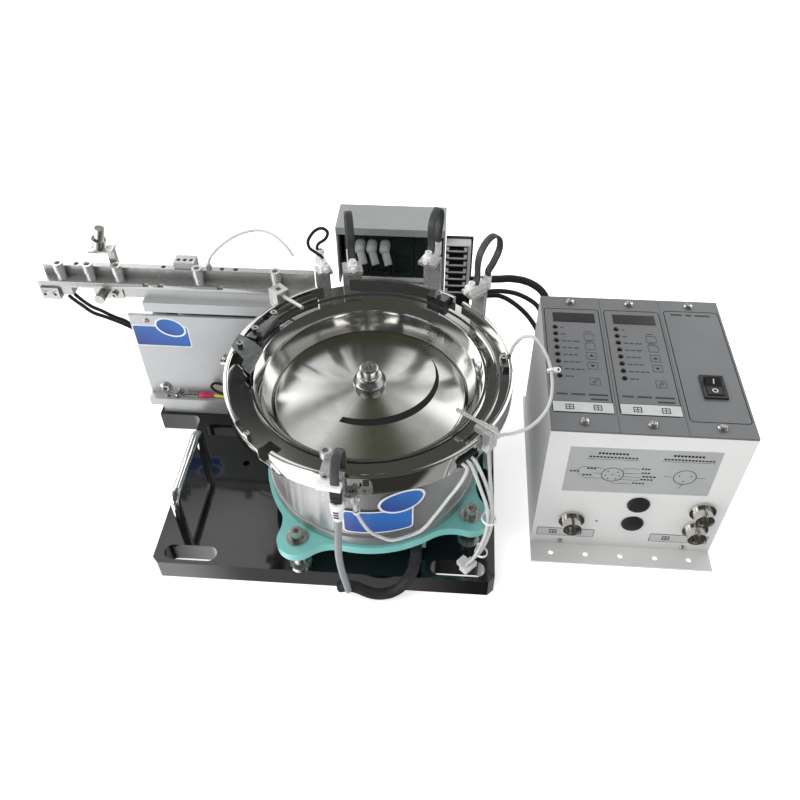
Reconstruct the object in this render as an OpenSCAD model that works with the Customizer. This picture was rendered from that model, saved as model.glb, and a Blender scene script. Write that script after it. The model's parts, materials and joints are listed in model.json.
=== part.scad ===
// Vibratory bowl feeder with a linear feeder track, a valve bank and a two-channel controller.
// Millimetres. X runs along the front edge, Y runs to the back, Z is up.
// The origin is on the bowl's axis, at the underside of the base plate.

/* [Base plate] */
// Width of the plate along X
plate_w = 280; // [260:1:320]
// Depth of the plate along Y
plate_d = 280; // [270:1:320]
// Thickness of the plate
plate_t = 20; // [15:1:25]
// Corner chamfer of the plate
plate_chamfer = 5; // [3:0.5:8]
// Bowl axis, measured from the plate's left edge
axis_from_left = 175; // [170:1:180]
// Bowl axis, measured from the plate's front edge
axis_from_front = 90; // [86:1:100]
// How far the wing under the linear feeder stands out to the left
wing_w = 40; // [36:1:50]
// Length of a fixing slot, end to end
slot_l = 44; // [30:1:50]
// Width of a fixing slot
slot_w = 14; // [9:0.5:16]
// Slot pitch along X
slot_pitch_x = 220; // [200:1:224]
// Slot pitch along Y
slot_pitch_y = 137; // [130:1:140]
// Front slots' centre line, measured from the plate's front edge
slot_from_front = 11; // [9:0.5:14]
// Diameter of a carrying handle's bar
handle_d = 8; // [6:0.5:10]
// Distance between a handle's two feet
handle_span = 76; // [60:1:90]
// Height of the bar's centre line above the plate
handle_rise = 38; // [34:1:50]
// Left handle, measured from the plate's left edge
handle_left = 17.5; // [14:0.5:20]
// Right handle, measured from the plate's right edge
handle_right = 8; // [7:0.5:8.5]

/* [Bowl drive] */
// Height of the feet between the plate and the lobed base
foot_h = 28; // [24:1:34]
// Diameter of a foot
foot_d = 13; // [12:0.5:15]
// Radius of the circle of foot screws
lobe_pitch_r = 98; // [96:0.5:102]
// Radius of a lobe's end
lobe_r = 16; // [14:0.5:18]
// Radius of the lobed base between its lobes
drive_r = 89; // [88:0.5:90]
// Thickness of the lobed base
drive_base_t = 8; // [6:0.5:12]
// Outer radius of the casing
casing_r = 85; // [82:0.5:86]
// Height of the casing
casing_h = 70; // [66:1:76]
// Wall of the casing
casing_wall = 2.5; // [1.5:0.5:3]
// Radius of the circle of leaf spring packs
spring_r = 60; // [57:1:61]
// Lean of the leaf springs
spring_lean = 15; // [10:1:18]

/* [Bowl] */
// Outer radius of the rim
rim_r = 109; // [106:0.5:114]
// Height of the rim's outer wall
rim_h = 18; // [14:1:20]
// Width of the rim's top lip
lip_w = 3.5; // [2:0.5:5]
// Depth of the outer track below the lip
track_drop = 6; // [5:0.5:8]
// Outer radius of the disc in the bowl's floor
disc_r = 73.5; // [72:0.5:74]
// Rise of the disc's cone from its edge to its middle
disc_rise = 10; // [6:0.5:12]
// Widest radius of the centre nut
nut_r = 12.7; // [11:0.1:13.5]

/* [Linear feeder] */
// Length of the linear feeder's base
line_l = 148; // [140:1:150]
// Left end of the linear feeder's base, measured from the bowl axis
line_left = 223; // [220:1:228]
// Front of the linear feeder's base, measured from the bowl axis
line_front = 79; // [78:0.5:81]
// Height of its front and back covers
line_cover_h = 95; // [90:1:97]
// Length of the rails
rail_l = 240; // [230:1:250]
// Width of the front rail, which the parts run on
front_rail_w = 10; // [9:0.5:11]
// Width of the back rail
back_rail_w = 6; // [5:0.5:8]
// Height of a rail pillar
pillar_h = 8; // [6:0.5:12]
// Diameter of a rail pillar
pillar_d = 9; // [8:0.5:10]

/* [Valve bank] */
// Width of the valve cover
valve_w = 96; // [90:1:100]
// Depth of the valve cover
valve_d = 38; // [36:1:40]
// Height of the valve cover's top above the floor
valve_top = 188; // [180:1:195]

/* [Controller] */
// Width of one panel module
module_w = 50; // [48:1:52]
// Depth of the case
case_d = 158; // [155:1:165]
// Height of the case
case_h = 142; // [130:1:150]
// Gap between the plate's right edge and the case
case_gap = 32; // [28:1:40]
// Thickness of the panels on top
panel_t = 2; // [1.5:0.5:3]
// Depth of the flange along the front's foot
flange_d = 19; // [15:1:22]
// Width of the power switch's opening
switch_w = 18; // [15:0.5:19]
// Length of the power switch's opening
switch_l = 25; // [22:0.5:26]

/* [Hidden] */
$fn = 64;
HULL_FN = 24;       // facets on the circles inside a hull
TUBE_SIDES = 8;     // sides of a swept tube
eps = 0.01;         // overlap that keeps a cut clean
seat = 0.2;         // clearance of a screw in its hole
swing_gap = 0.45;   // clearance round what vibrates

// --- heights, from the floor up
base_top = plate_t;
drive_z = base_top + foot_h;                // underside of the lobed base
casing_z = drive_z + drive_base_t;
casing_top = casing_z + casing_h;
frame_top = casing_top + 2;                 // top of the top frame, where the bowl sits
frame_t = 10;
floor_t = 6.5;                              // thickness of the bowl's floor
disc_z = frame_top + floor_t;               // face that the disc lies on
rim_z = frame_top + 20;                     // underside of the rim
rim_top = rim_z + rim_h;
track_z = rim_top - track_drop;             // outer track
inner_track_z = track_z - 1.5;

// --- plan positions
plate_x0 = -axis_from_left;
plate_x1 = plate_x0 + plate_w;
plate_y0 = -axis_from_front;
plate_y1 = plate_y0 + plate_d;
plate_mid_x = (plate_x0 + plate_x1) / 2;
wing_y0 = line_front - 4;
slot_mid_y = plate_y0 + slot_from_front + slot_pitch_y / 2;
LOBE_ANGLES = [58, 148, 238, 328];
rail_y0 = line_front + 16;                  // front face of the front rail

// --- small parts
m6_r = 3;
m6_head_r = 5;
m6_head_h = 6;
washer_r = 8.5;
washer_t = 1.6;
spring_washer_t = 1.8;
m3_r = 1.5;
m3_head_r = 2.75;
m3_head_h = 3;

// --- a screw with a socket head: its head stands on z = 0, its shank goes down
module cap_screw(r, head_r, head_h, length) {
    difference() {
        union() {
            cylinder(r = head_r, h = head_h);
            translate([0, 0, -length]) cylinder(r = r, h = length + eps);
        }
        translate([0, 0, head_h * 0.45]) cylinder(r = head_r * 0.5, h = head_h, $fn = 6);
    }
}

// --- a pan head with a cross slot, standing on z = 0
module pan_head(r, h, shank_r, length) {
    difference() {
        union() {
            rotate_extrude() polygon([[0, 0], [r, 0], [r, h * 0.35], [r * 0.75, h * 0.8], [r * 0.35, h], [0, h]]);
            translate([0, 0, -length]) cylinder(r = shank_r, h = length + eps);
        }
        for (a = [0, 90]) rotate([0, 0, a]) translate([-r * 0.55, -r * 0.1, h * 0.5]) cube([r * 1.1, r * 0.2, h]);
    }
}

// --- a slot's outline, end to end along X
module slot_outline(length, width) {
    square([length - width, width], center = true);
    for (s = [-1, 1]) translate([s * (length - width) / 2, 0]) circle(d = width);
}

// --- a box given by its two corners
module box_between(low, high) {
    translate(low) cube(high - low);
}

// --- a tube swept along chosen points
function unit(v) = v / norm(v);
function heading(path, i) = unit(path[min(i + 1, len(path) - 1)] - path[max(i - 1, 0)]);
// the sideways direction is carried from ring to ring, so the tube doesn't twist
function flat_part(v, d) = unit(v - (v * d) * d);
function side_list(path, i, last) =
    i >= len(path) ? [] : let (s = flat_part(last, heading(path, i))) concat([s], side_list(path, i + 1, s));
function first_side(d) = flat_part(abs(d[2]) < 0.9 ? [0, 0, 1] : [1, 0, 0], d);

module tube(path, r, wide = 1, sides = TUBE_SIDES) {
    n = len(path);
    across = side_list(path, 0, first_side(heading(path, 0)));
    rings = [for (i = [0 : n - 1]) let (d = heading(path, i), s = across[i], c = cross(d, s))
        for (k = [0 : sides - 1]) let (a = 360 * (k + 0.5) / sides)
            path[i] + r * cos(a) * s + r * wide * sin(a) * c];
    faces = concat(
        [[for (k = [0 : sides - 1]) k]],
        [for (i = [0 : n - 2]) for (k = [0 : sides - 1])
            [i * sides + k, (i + 1) * sides + k, (i + 1) * sides + (k + 1) % sides, i * sides + (k + 1) % sides]],
        [[for (k = [sides - 1 : -1 : 0]) (n - 1) * sides + k]]);
    polyhedron(points = rings, faces = faces, convexity = 6);
}

// ------------------------------------------------------------------ base plate

module plate_outline() {
    difference() {
        union() {
            translate([plate_x0, plate_y0]) square([plate_w, plate_d]);
            translate([plate_x0 - wing_w, wing_y0]) square([wing_w + eps, plate_y1 - wing_y0]);
            // round inner corner where the wing starts
            difference() {
                translate([plate_x0 - wing_r, wing_y0 - wing_r]) square(wing_r + eps);
                translate([plate_x0 - wing_r, wing_y0 - wing_r]) circle(r = wing_r);
            }
        }
        for (c = [[plate_x0, plate_y0], [plate_x1, plate_y0], [plate_x1, plate_y1], [plate_x0 - wing_w, plate_y1]])
            translate(c) rotate(45) square(plate_chamfer * sqrt(2), center = true);
    }
}
wing_r = 7;

module at_slots() {
    for (sx = [-1, 1], sy = [-1, 1])
        translate([plate_mid_x + sx * slot_pitch_x / 2, slot_mid_y + sy * slot_pitch_y / 2]) children();
}

// front foot of each handle
HANDLES = [[plate_x0 + handle_left, plate_y0 + 36], [plate_x1 - handle_right, plate_y0 + 93]];
module at_handle_feet() {
    for (p = HANDLES, y = [0, handle_span]) translate([p[0], p[1] + y]) children();
}

module base_plate() {
    color([0.02, 0.02, 0.025])
    difference() {
        linear_extrude(plate_t) plate_outline();
        translate([0, 0, -1]) linear_extrude(plate_t + 2) at_slots() slot_outline(slot_l, slot_w);
        // tapped hole beside the drive
        translate([plate_x0 + 56, plate_y0 + 109, -1]) cylinder(d = 6, h = plate_t + 2);
        // screws that come up into the handles
        translate([0, 0, -1]) linear_extrude(plate_t + 2) at_handle_feet() circle(r = 2.6);
        translate([0, 0, -1]) linear_extrude(6) at_handle_feet() circle(r = 5);
    }
}

handle_bend = 9;       // bend radius of a handle, at the bar's centre line
module carry_handle() {
    h = handle_rise;
    r = handle_bend;
    translate([0, 0, base_top]) {
        for (y = [0, handle_span]) translate([0, y, 0]) cylinder(d = handle_d, h = h - r);
        translate([0, r, h]) rotate([-90, 0, 0]) cylinder(d = handle_d, h = handle_span - 2 * r);
        for (s = [0, 1]) translate([0, s * handle_span, 0]) mirror([0, s, 0])
            translate([0, r, h - r]) rotate([90, 0, 90]) rotate([0, 0, 90])
                rotate_extrude(angle = 90) translate([r, 0]) circle(d = handle_d);
    }
}

module carry_handles() {
    color([0.8, 0.8, 0.82])
    difference() {
        for (p = HANDLES) translate([p[0], p[1], 0]) carry_handle();
        translate([0, 0, base_top - 1]) linear_extrude(13) at_handle_feet() circle(r = 2.1);
    }
}

// ------------------------------------------------------------------ bowl drive

module at_lobes() {
    for (a = LOBE_ANGLES) rotate([0, 0, a]) translate([lobe_pitch_r, 0, 0]) children();
}

module drive_feet() {
    color([0.75, 0.75, 0.76])
    translate([0, 0, base_top]) at_lobes() difference() {
        union() {
            cylinder(d = foot_d, h = foot_h);
            cylinder(d = foot_d + 5, h = 4);
        }
        translate([0, 0, foot_h - 18]) cylinder(r = m6_r + seat / 2, h = 18 + eps);
    }
}

lobe_fillet = 30;      // radius of the hollow between a lobe and the round
fillet_reach = drive_r + lobe_fillet;
fillet_angle = acos((pow(fillet_reach, 2) + pow(lobe_pitch_r, 2) - pow(lobe_r + lobe_fillet, 2))
    / (2 * lobe_pitch_r * fillet_reach));
module lobed_outline() {
    circle(r = drive_r);
    for (a = LOBE_ANGLES) rotate(a) {
        translate([lobe_pitch_r, 0]) circle(r = lobe_r);
        difference() {
            polygon([[0, 0],
                fillet_reach * [cos(fillet_angle), -sin(fillet_angle)],
                [lobe_pitch_r, 0],
                fillet_reach * [cos(fillet_angle), sin(fillet_angle)]]);
            for (s = [-1, 1]) translate(fillet_reach * [cos(fillet_angle), s * sin(fillet_angle)])
                circle(r = lobe_fillet);
        }
    }
}

// where the braided sleeve and the earth wires go up into the base
SLEEVE_ENTRY = [41, -63, 36];
WIRE_ENTRIES = [[-71, 27, 36], [-71, 21, 40]];
sleeve_r = 4.4;
wire_r = 1.3;
module drive_base() {
    color([0.35, 0.68, 0.62])
    difference() {
        union() {
            translate([0, 0, drive_z]) linear_extrude(drive_base_t) lobed_outline();
            // cable entries under the base
            box_between([SLEEVE_ENTRY[0] - 7.5, SLEEVE_ENTRY[1] - 4, SLEEVE_ENTRY[2] - 7], [SLEEVE_ENTRY[0] + 7.5, SLEEVE_ENTRY[1] + 13, drive_z + eps]);
            box_between([WIRE_ENTRIES[0][0] - 1, WIRE_ENTRIES[1][1] - 6, WIRE_ENTRIES[0][2] - 5], [WIRE_ENTRIES[0][0] + 13, WIRE_ENTRIES[0][1] + 6, drive_z + eps]);
        }
        at_lobes() translate([0, 0, drive_z - 1]) cylinder(r = m6_r + seat, h = drive_base_t + 2);
        translate(SLEEVE_ENTRY) rotate([90, 0, 0]) cylinder(r = sleeve_r + seat, h = 10);
        for (p = WIRE_ENTRIES) translate(p) rotate([0, -90, 0]) cylinder(r = wire_r + seat, h = 10);
    }
}

foot_screw_z = casing_z + washer_t + spring_washer_t;
module foot_washers() {
    color([0.72, 0.72, 0.72])
    translate([0, 0, casing_z]) at_lobes() {
        difference() {
            cylinder(r = washer_r, h = washer_t);
            translate([0, 0, -1]) cylinder(r = m6_r + seat, h = washer_t + 2);
        }
        translate([0, 0, washer_t]) difference() {
            cylinder(r = m6_head_r + 0.6, h = spring_washer_t);
            translate([0, 0, -1]) cylinder(r = m6_r + seat, h = spring_washer_t + 2);
            // the cut in a spring washer
            rotate([18, 0, 30]) translate([0, -0.5, -2]) cube([m6_head_r * 2, 1, 6]);
        }
    }
}

module foot_screws() {
    color([0.8, 0.8, 0.8])
    translate([0, 0, foot_screw_z]) at_lobes()
        cap_screw(m6_r, m6_head_r, m6_head_h, foot_screw_z - drive_z + 14);
}

casing_band_h = 10;
casing_band = 1.5;     // how far the band at the casing's foot stands out
module drive_casing() {
    color([0.78, 0.78, 0.78])
    translate([0, 0, casing_z]) rotate_extrude() polygon([
        [casing_r - casing_wall, 0], [casing_r + casing_band, 0], [casing_r + casing_band, casing_band_h - 0.7],
        [casing_r + casing_band - 0.7, casing_band_h], [casing_r, casing_band_h], [casing_r, casing_h - 0.5],
        [casing_r - 0.5, casing_h], [casing_r - casing_wall, casing_h]]);
}

// --- leaf springs lean between the spring block and the top frame
leaf_l = 54;
leaf_w = 28;
leaf_t = 2;
leaf_gap = 1;          // spacer between the two leaves of a pack
pack_t = 2 * leaf_t + leaf_gap;
clamp_l = 16;          // length of leaf held at each end
lug_t = 12;
block_t = 8;
spring_mid_z = (casing_z + block_t + frame_top - frame_t) / 2;
bolt_z = leaf_l / 2 - clamp_l / 2;
module at_springs() {
    for (i = [0 : 3]) rotate([0, 0, 45 + 90 * i]) translate([spring_r, 0, spring_mid_z])
        rotate([spring_lean, 0, 0]) children();
}
module band(r, z0, z1) {
    translate([0, 0, z0]) cylinder(r = r, h = z1 - z0);
}
inner_r = casing_r - casing_wall - 2;

module spring_block() {
    color([0.3, 0.3, 0.32])
    difference() {
        union() {
            band(inner_r - 4, casing_z, casing_z + block_t);
            intersection() {
                at_springs() translate([-leaf_w / 2, pack_t / 2, -leaf_l / 2 - 12]) cube([leaf_w, lug_t, 12 + clamp_l]);
                band(inner_r, casing_z, spring_mid_z);
            }
        }
        at_springs() translate([0, 0, -bolt_z]) rotate([90, 0, 0]) cylinder(r = m6_r + seat, h = 60, center = true);
    }
}

module leaf_springs() {
    color([0.55, 0.55, 0.57])
    difference() {
        at_springs() {
            for (s = [0, 1]) translate([-leaf_w / 2, -pack_t / 2 + s * (leaf_t + leaf_gap), -leaf_l / 2])
                cube([leaf_w, leaf_t, leaf_l]);
            for (z = [-leaf_l / 2, leaf_l / 2 - clamp_l]) translate([-leaf_w / 2, -pack_t / 2 + leaf_t - eps, z])
                cube([leaf_w, leaf_gap + 2 * eps, clamp_l]);
        }
        at_springs() for (s = [-1, 1]) translate([0, 0, s * bolt_z]) rotate([90, 0, 0])
            cylinder(r = m6_r + (s > 0 ? swing_gap + 0.25 : seat), h = 20, center = true);
    }
}

module spring_bolt(gap) {
    // clamp bar under the head, then the head; the shank goes through the pack into the lug
    translate([0, 0, gap]) difference() {
        translate([-leaf_w / 2 + 1, -clamp_l / 2 + 1, 0]) cube([leaf_w - 2, clamp_l - 2, 3]);
        translate([0, 0, -1]) cylinder(r = m6_r + seat, h = 6);
    }
    translate([0, 0, gap + 3]) cap_screw(m6_r, m6_head_r, m6_head_h, gap + 3 + pack_t + gap + 8);
}

module lower_spring_bolts() {
    color([0.25, 0.25, 0.26])
    at_springs() translate([0, -pack_t / 2, -bolt_z]) rotate([90, 0, 0]) spring_bolt(0);
}

module upper_spring_bolts() {
    color([0.25, 0.25, 0.26])
    at_springs() translate([0, pack_t / 2, bolt_z]) rotate([-90, 0, 0]) spring_bolt(swing_gap);
}

module top_frame() {
    color([0.6, 0.6, 0.62])
    difference() {
        union() {
            band(inner_r - 4, frame_top - frame_t, frame_top);
            intersection() {
                at_springs() translate([-leaf_w / 2, -pack_t / 2 - swing_gap - lug_t, leaf_l / 2 - clamp_l])
                    cube([leaf_w, lug_t, clamp_l + 12]);
                band(inner_r, spring_mid_z, frame_top - frame_t + 1);
            }
        }
        at_springs() translate([0, 0, bolt_z]) rotate([90, 0, 0]) cylinder(r = m6_r + seat, h = 60, center = true);
        // pocket that lets the fixed leaves move below the frame
        at_springs() translate([-leaf_w / 2 - 1, -pack_t / 2 - swing_gap, leaf_l / 2 - clamp_l - 1])
            cube([leaf_w + 2, pack_t + 2 * swing_gap + 10, clamp_l + 2]);
        translate([0, 0, frame_top - frame_t - 1]) cylinder(r = stem_r + seat, h = frame_t + 2);
    }
}

core_w = 48;
core_d = 22;
core_h = 34;
limb_w = 8;
core_z = casing_z + block_t;
magnet_gap = 0.9;      // air gap under the armature
module magnet_core() {
    color([0.35, 0.35, 0.37])
    difference() {
        translate([-core_w / 2, -core_d / 2, core_z]) cube([core_w, core_d, core_h]);
        for (s = [-1, 1]) translate([s * (core_w / 4 - 0.5), 0, core_z + core_h / 2 + 8])
            cube([core_w / 4 - limb_w / 2, core_d + 2, core_h], center = true);
    }
}
window_w = core_w / 4 - limb_w / 2;
mid_limb_w = core_w / 2 - 1 - window_w;
module magnet_coil() {
    color([0.55, 0.28, 0.12])
    translate([0, 0, core_z + core_h / 2 - 8.7]) difference() {
        linear_extrude(20) offset(r = 3) square([mid_limb_w + 2 * window_w - 7.5, core_d + 7], center = true);
        translate([0, 0, 10]) cube([mid_limb_w + 0.6, core_d + 0.6, 30], center = true);
    }
}
module armature() {
    color([0.4, 0.4, 0.42])
    difference() {
        union() {
            translate([-core_w / 2, -core_d / 2, core_z + core_h + magnet_gap]) cube([core_w, core_d, 9]);
            band(11, core_z + core_h + magnet_gap + 9 - eps, frame_top - frame_t);
        }
        translate([0, 0, core_z + core_h]) cylinder(r = stem_r + seat, h = 40);
    }
}

// ------------------------------------------------------------------ bowl

stem_r = 4;            // centre screw, M8
boss_r = 12;
boss_top = disc_z + disc_rise;
// the ring between the disc and the rim is drawn for these two radii, and stretches with the real ones
drawn_rim_r = 109;
drawn_disc_r = 73.5;
function out(r) = disc_r + (r - drawn_disc_r) * (rim_r - disc_r) / (drawn_rim_r - drawn_disc_r);
inner_lip_r = out(89.3);
groove_w = 1.2;
step_r = out(96.5);         // where the outer track steps down to the inner one

function polar(r, a) = [r * cos(a), r * sin(a)];

module bowl_profile() {
    polygon([
        [stem_r + seat, frame_top], [inner_r - 6, frame_top], [rim_r - 17, rim_z - 3], [rim_r - 14, rim_z],
        [rim_r - 0.6, rim_z], [rim_r, rim_z + 0.6], [rim_r, rim_top - 0.7], [rim_r - 0.7, rim_top],
        [rim_r - lip_w, rim_top], [rim_r - lip_w, track_z], [step_r, track_z], [step_r, inner_track_z],
        [inner_lip_r + groove_w, inner_track_z], [inner_lip_r + groove_w, inner_track_z - 2],
        [inner_lip_r, inner_track_z - 2], [inner_lip_r, inner_track_z + 1],
        [out(87), inner_track_z + 1], [out(81.5), track_z - 6.5], [out(80.7), track_z - 9.5],
        [out(77.1), disc_z + 9], [out(75.9), disc_z + 4.5], [disc_r + 0.4, disc_z],
        [boss_r, disc_z], [boss_r, boss_top], [stem_r + seat, boss_top]]);
}

// where the parts leave the outer track for the rail
exit_y0 = rail_y0 - 1;
exit_y1 = rail_y0 + front_rail_w + 0.5;

module bowl() {
    color([0.75, 0.75, 0.73])
    difference() {
        union() {
            rotate_extrude($fn = 96) bowl_profile();
            // lug on the wall at the left
            rotate([0, 0, lug_angle]) translate([rim_r - 1, -4, lug_z]) cube([lug_out + 1, 8, 3]);
        }
        rotate([0, 0, lug_angle]) translate([rim_r + lug_out / 2, 0, lug_z - 1]) cylinder(r = m3_r + seat, h = 8);
        // gap in the lip at the outlet
        box_between([-70, exit_y0, track_z + 0.02], [-18, exit_y1, rim_top + 5]);
        // stepped gap at the front left
        rotate([0, 0, 219]) translate([rim_r - 7, -6, track_z + 3]) cube([20, 12, 20]);
        rotate([0, 0, 228]) translate([rim_r - 5, -6, track_z + 1]) cube([20, 12, 20]);
        rotate([0, 0, 234]) translate([rim_r - 12, -6, rim_z + 4]) cube([20, 12, 30]);
        rotate([0, 0, 219]) translate([rim_r - 3.5, 0, track_z - 6]) cylinder(r = 1.5, h = 20);
        // notches at the right and the rear right
        rotate([0, 0, 9]) translate([rim_r - 6, -2.5, track_z + 1]) cube([20, 5, 20]);
        rotate([0, 0, 52]) translate([rim_r - 10, -4.5, track_z - 2]) cube([20, 9, 20]);
        // seat of the tube port
        rotate([0, 0, port_angle]) translate([rim_r - 3, -port_l / 2, rim_z + 4]) cube([10, port_l, port_h]);
        // hole of the front screw
        rotate([0, 0, front_screw_angle]) translate([rim_r - 9, 0, rim_z + 8]) rotate([0, 90, 0]) cylinder(r = m6_r + seat, h = 20);
        // holes of the rim screws
        at_rim_screws() translate([0, 0, -8]) cylinder(r = m3_r + seat, h = 20);
    }
}

// --- the disc is a shallow cone with a crescent groove
disc_t = 2.4;
disc_hole_r = stem_r + 0.6;
module disc_cone(lift) {
    rotate_extrude($fn = 96) polygon([
        [disc_hole_r, boss_top], [boss_r, boss_top], [disc_r - 3, disc_z], [disc_r, disc_z],
        [disc_r, disc_z + disc_t + lift], [disc_hole_r + 6, boss_top + disc_t + lift], [disc_hole_r, boss_top + disc_t + lift]]);
}
crescent_r = 54;
crescent_at = [-1, 14];
module bowl_disc() {
    color([0.72, 0.72, 0.72])
    difference() {
        disc_cone(0);
        difference() {
            translate([0, 0, disc_z]) linear_extrude(40) intersection() {
                difference() {
                    translate(crescent_at) circle(r = crescent_r);
                    translate(crescent_at + [-1.2, 2.6]) circle(r = crescent_r);
                }
                polygon([[0, 0], polar(200, -118), polar(200, -60), polar(200, 0), polar(200, 60)]);
            }
            disc_cone(-0.8);
        }
    }
}

nut_z = boss_top + disc_t;
nut_neck_r = 7.2;
nut_top = nut_z + 17;
module centre_nut() {
    color([0.85, 0.85, 0.86])
    difference() {
        translate([0, 0, nut_z]) rotate_extrude() polygon([
            [0, 0], [nut_r - 3.5, 0], [nut_r, 3], [nut_r, 5], [nut_neck_r + 2.5, 8.6], [nut_neck_r + 0.6, 9],
            [nut_neck_r, 9.8], [nut_neck_r, 16.3], [nut_neck_r - 0.7, 17], [0, 17]]);
        translate([0, 0, nut_z - 1]) cylinder(r = stem_r + seat, h = 30);
        translate([0, 0, nut_top - 7]) cylinder(r = 6.2, h = 10);
    }
}
module centre_screw() {
    color([0.7, 0.7, 0.72])
    translate([0, 0, nut_top - 7]) cap_screw(stem_r, 5.9, 8, nut_top - 7 - (frame_top - frame_t) + 8);
}

// ------------------------------------------------------------------ on the rim

guide_t = 2;
// screw positions on the rim: radius and angle
RIM_SCREWS = [[rim_r - 7, 172], [rim_r - 6.8, 158], [rim_r - 6.8, 145], [rim_r - 6.4, 9], [rim_r - 7.5, 61]];
module at_rim_screws() {
    for (s = RIM_SCREWS) rotate([0, 0, s[1]]) translate([s[0], 0, track_z]) children();
}

// plates that narrow the track: steel on the lip's height, each a short stretch of the ring
module ring_stretch(r0, r1, a0, a1, z0, h) {
    translate([0, 0, z0]) linear_extrude(h) intersection() {
        difference() {
            circle(r = r1);
            circle(r = r0);
        }
        polygon([[0, 0], polar(200, a0), polar(200, (a0 + a1) / 2), polar(200, a1)]);
    }
}
SELECTOR = [[-105, 28], [-108, 13], [-94.6, -2], [-95.3, -8], [-87.5, -16], [-85.7, -9], [-82.5, 11], [-93, 20]];
module track_guides() {
    color([0.42, 0.44, 0.44])
    difference() {
        union() {
            // L-shaped selector plate at the left, with its post down to the track
            translate([0, 0, rim_top + eps]) linear_extrude(guide_t)
                polygon([for (p = SELECTOR) p * out(norm(p)) / norm(p)]);
            ring_stretch(out(96.8), rim_r - lip_w - 0.2, 167, 176, track_z, track_drop + 2 * eps);
            // rounded cover block behind it
            ring_stretch(out(91.5), out(96.3), 148, 162, inner_track_z, track_drop + 5);
            ring_stretch(out(97), rim_r - lip_w - 0.2, 150, 163, track_z, 3);
            // guide rails that follow the track on the right and at the rear
            ring_stretch(out(97.5), out(99), -42, 34, track_z, 2);
            ring_stretch(out(97), rim_r - lip_w - 0.2, 56, 66, track_z, track_drop);
            ring_stretch(rim_r - lip_w - 4, rim_r - lip_w - 0.2, 4, 13, track_z, 4);
            // outlet guide
            ring_stretch(out(97), out(98.5), 122, 146, track_z, 3);
            ring_stretch(out(99.5), rim_r - lip_w - 0.2, 143, 147.5, track_z, 3);
        }
        at_rim_screws() translate([0, 0, -5]) cylinder(r = m3_r + seat, h = 30);
    }
}

// height of each rim screw's seat above the outer track, in the order of RIM_SCREWS
RIM_SEATS = [track_drop + guide_t + eps, 3, 3, 4, track_drop];
front_screw_angle = -85.5;
module rim_screws() {
    color([0.8, 0.8, 0.8]) {
        for (i = [0 : len(RIM_SCREWS) - 1])
            rotate([0, 0, RIM_SCREWS[i][1]]) translate([RIM_SCREWS[i][0], 0, track_z + RIM_SEATS[i]])
                cap_screw(m3_r, m3_head_r, m3_head_h, RIM_SEATS[i] + 4);
        // button screw in the rim's front wall
        rotate([0, 0, front_screw_angle]) translate([rim_r, 0, rim_z + 8]) rotate([0, 90, 0])
            cap_screw(m6_r, m6_head_r, 2.6, 8);
        // lug screw at the left
        rotate([0, 0, lug_angle]) translate([rim_r + lug_out / 2, 0, lug_z + 3]) cap_screw(m3_r, m3_head_r, m3_head_h, 3);
    }
}
lug_angle = 176;
lug_out = 7;
lug_z = rim_z + 8;

port_angle = -46;
port_l = 19;
port_h = 9;
module tube_port() {
    color([0.05, 0.05, 0.055])
    rotate([0, 0, port_angle]) translate([rim_r - 3 + eps, 0, rim_z + 4 + port_h / 2]) difference() {
        rotate([0, 90, 0]) linear_extrude(5) {
            square([port_h - 0.4, port_l - port_h], center = true);
            for (s = [-1, 1]) translate([0, s * (port_l - port_h) / 2]) circle(d = port_h - 0.4);
        }
        for (y = PORT_HOLES) translate([1, y, 0]) rotate([0, 90, 0]) cylinder(r = air_r + 0.6, h = 10);
    }
}
PORT_HOLES = [-6.6, -2.2, 2.2, 6.6];

// --- a bracket that stands on the rim's outer wall: foot, upright, arm and clamp block
// a local frame at the rim: X points outwards, Y along the rim, Z up from the rim's top
module at_rim(angle) {
    rotate([0, 0, angle]) translate([rim_r, 0, rim_top]) children();
}
bracket_t = 3;
module rim_bracket(height, reach, width) {
    difference() {
        union() {
            translate([eps, -width / 2, -rim_h + 3]) cube([bracket_t, width, rim_h - 3 + height]);
            translate([-reach, -width / 2, height - bracket_t]) cube([reach + 1, width, bracket_t]);
            // gusset under the arm
            translate([0, -1.5, height - bracket_t]) rotate([-90, 0, 0])
                linear_extrude(3) polygon([[eps, -eps], [-reach * 0.6, -eps], [eps, reach * 0.6]]);
        }
        for (y = [-1, 1]) translate([-2, y * width * 0.28, -rim_h / 2]) rotate([0, 90, 0])
            cylinder(r = m3_r + seat, h = 10);
        translate([-reach + 4, 0, height - 10]) cylinder(r = m3_r + seat, h = 20);
    }
}
// angle, height, reach and width of each rear bracket
REAR_BRACKETS = [[116, 18, 9, 12], [103, 16, 12, 16], [67, 30, 11, 15], [42, 21, 12, 14]];
module rear_brackets() {
    color([0.62, 0.63, 0.63])
    for (b = REAR_BRACKETS) at_rim(b[0]) {
        rim_bracket(b[1], b[2], b[3]);
    }
}

// --- white sensor heads, each with a dark nose, clamped on a bracket's arm
head_l = 17;
head_w = 7;
head_h = 6;
module sensor_head(reach, height) {
    difference() {
        translate([-reach, -head_w / 2, height]) cube([head_l, head_w, head_h]);
        translate([-reach + 4, 0, height - 1]) cylinder(r = m3_r + seat, h = 20);
    }
    translate([-reach - 3, 0, height + head_h / 2]) rotate([0, 90, 0]) cylinder(r = 2, h = 3 + eps);
    translate([-reach + 4, 0, height + head_h]) cap_screw(m3_r, m3_head_r, m3_head_h, head_h + bracket_t);
}
module sensor_heads() {
    color([0.9, 0.9, 0.9])
    for (b = REAR_BRACKETS) at_rim(b[0]) sensor_head(b[2], b[1]);
}

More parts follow.
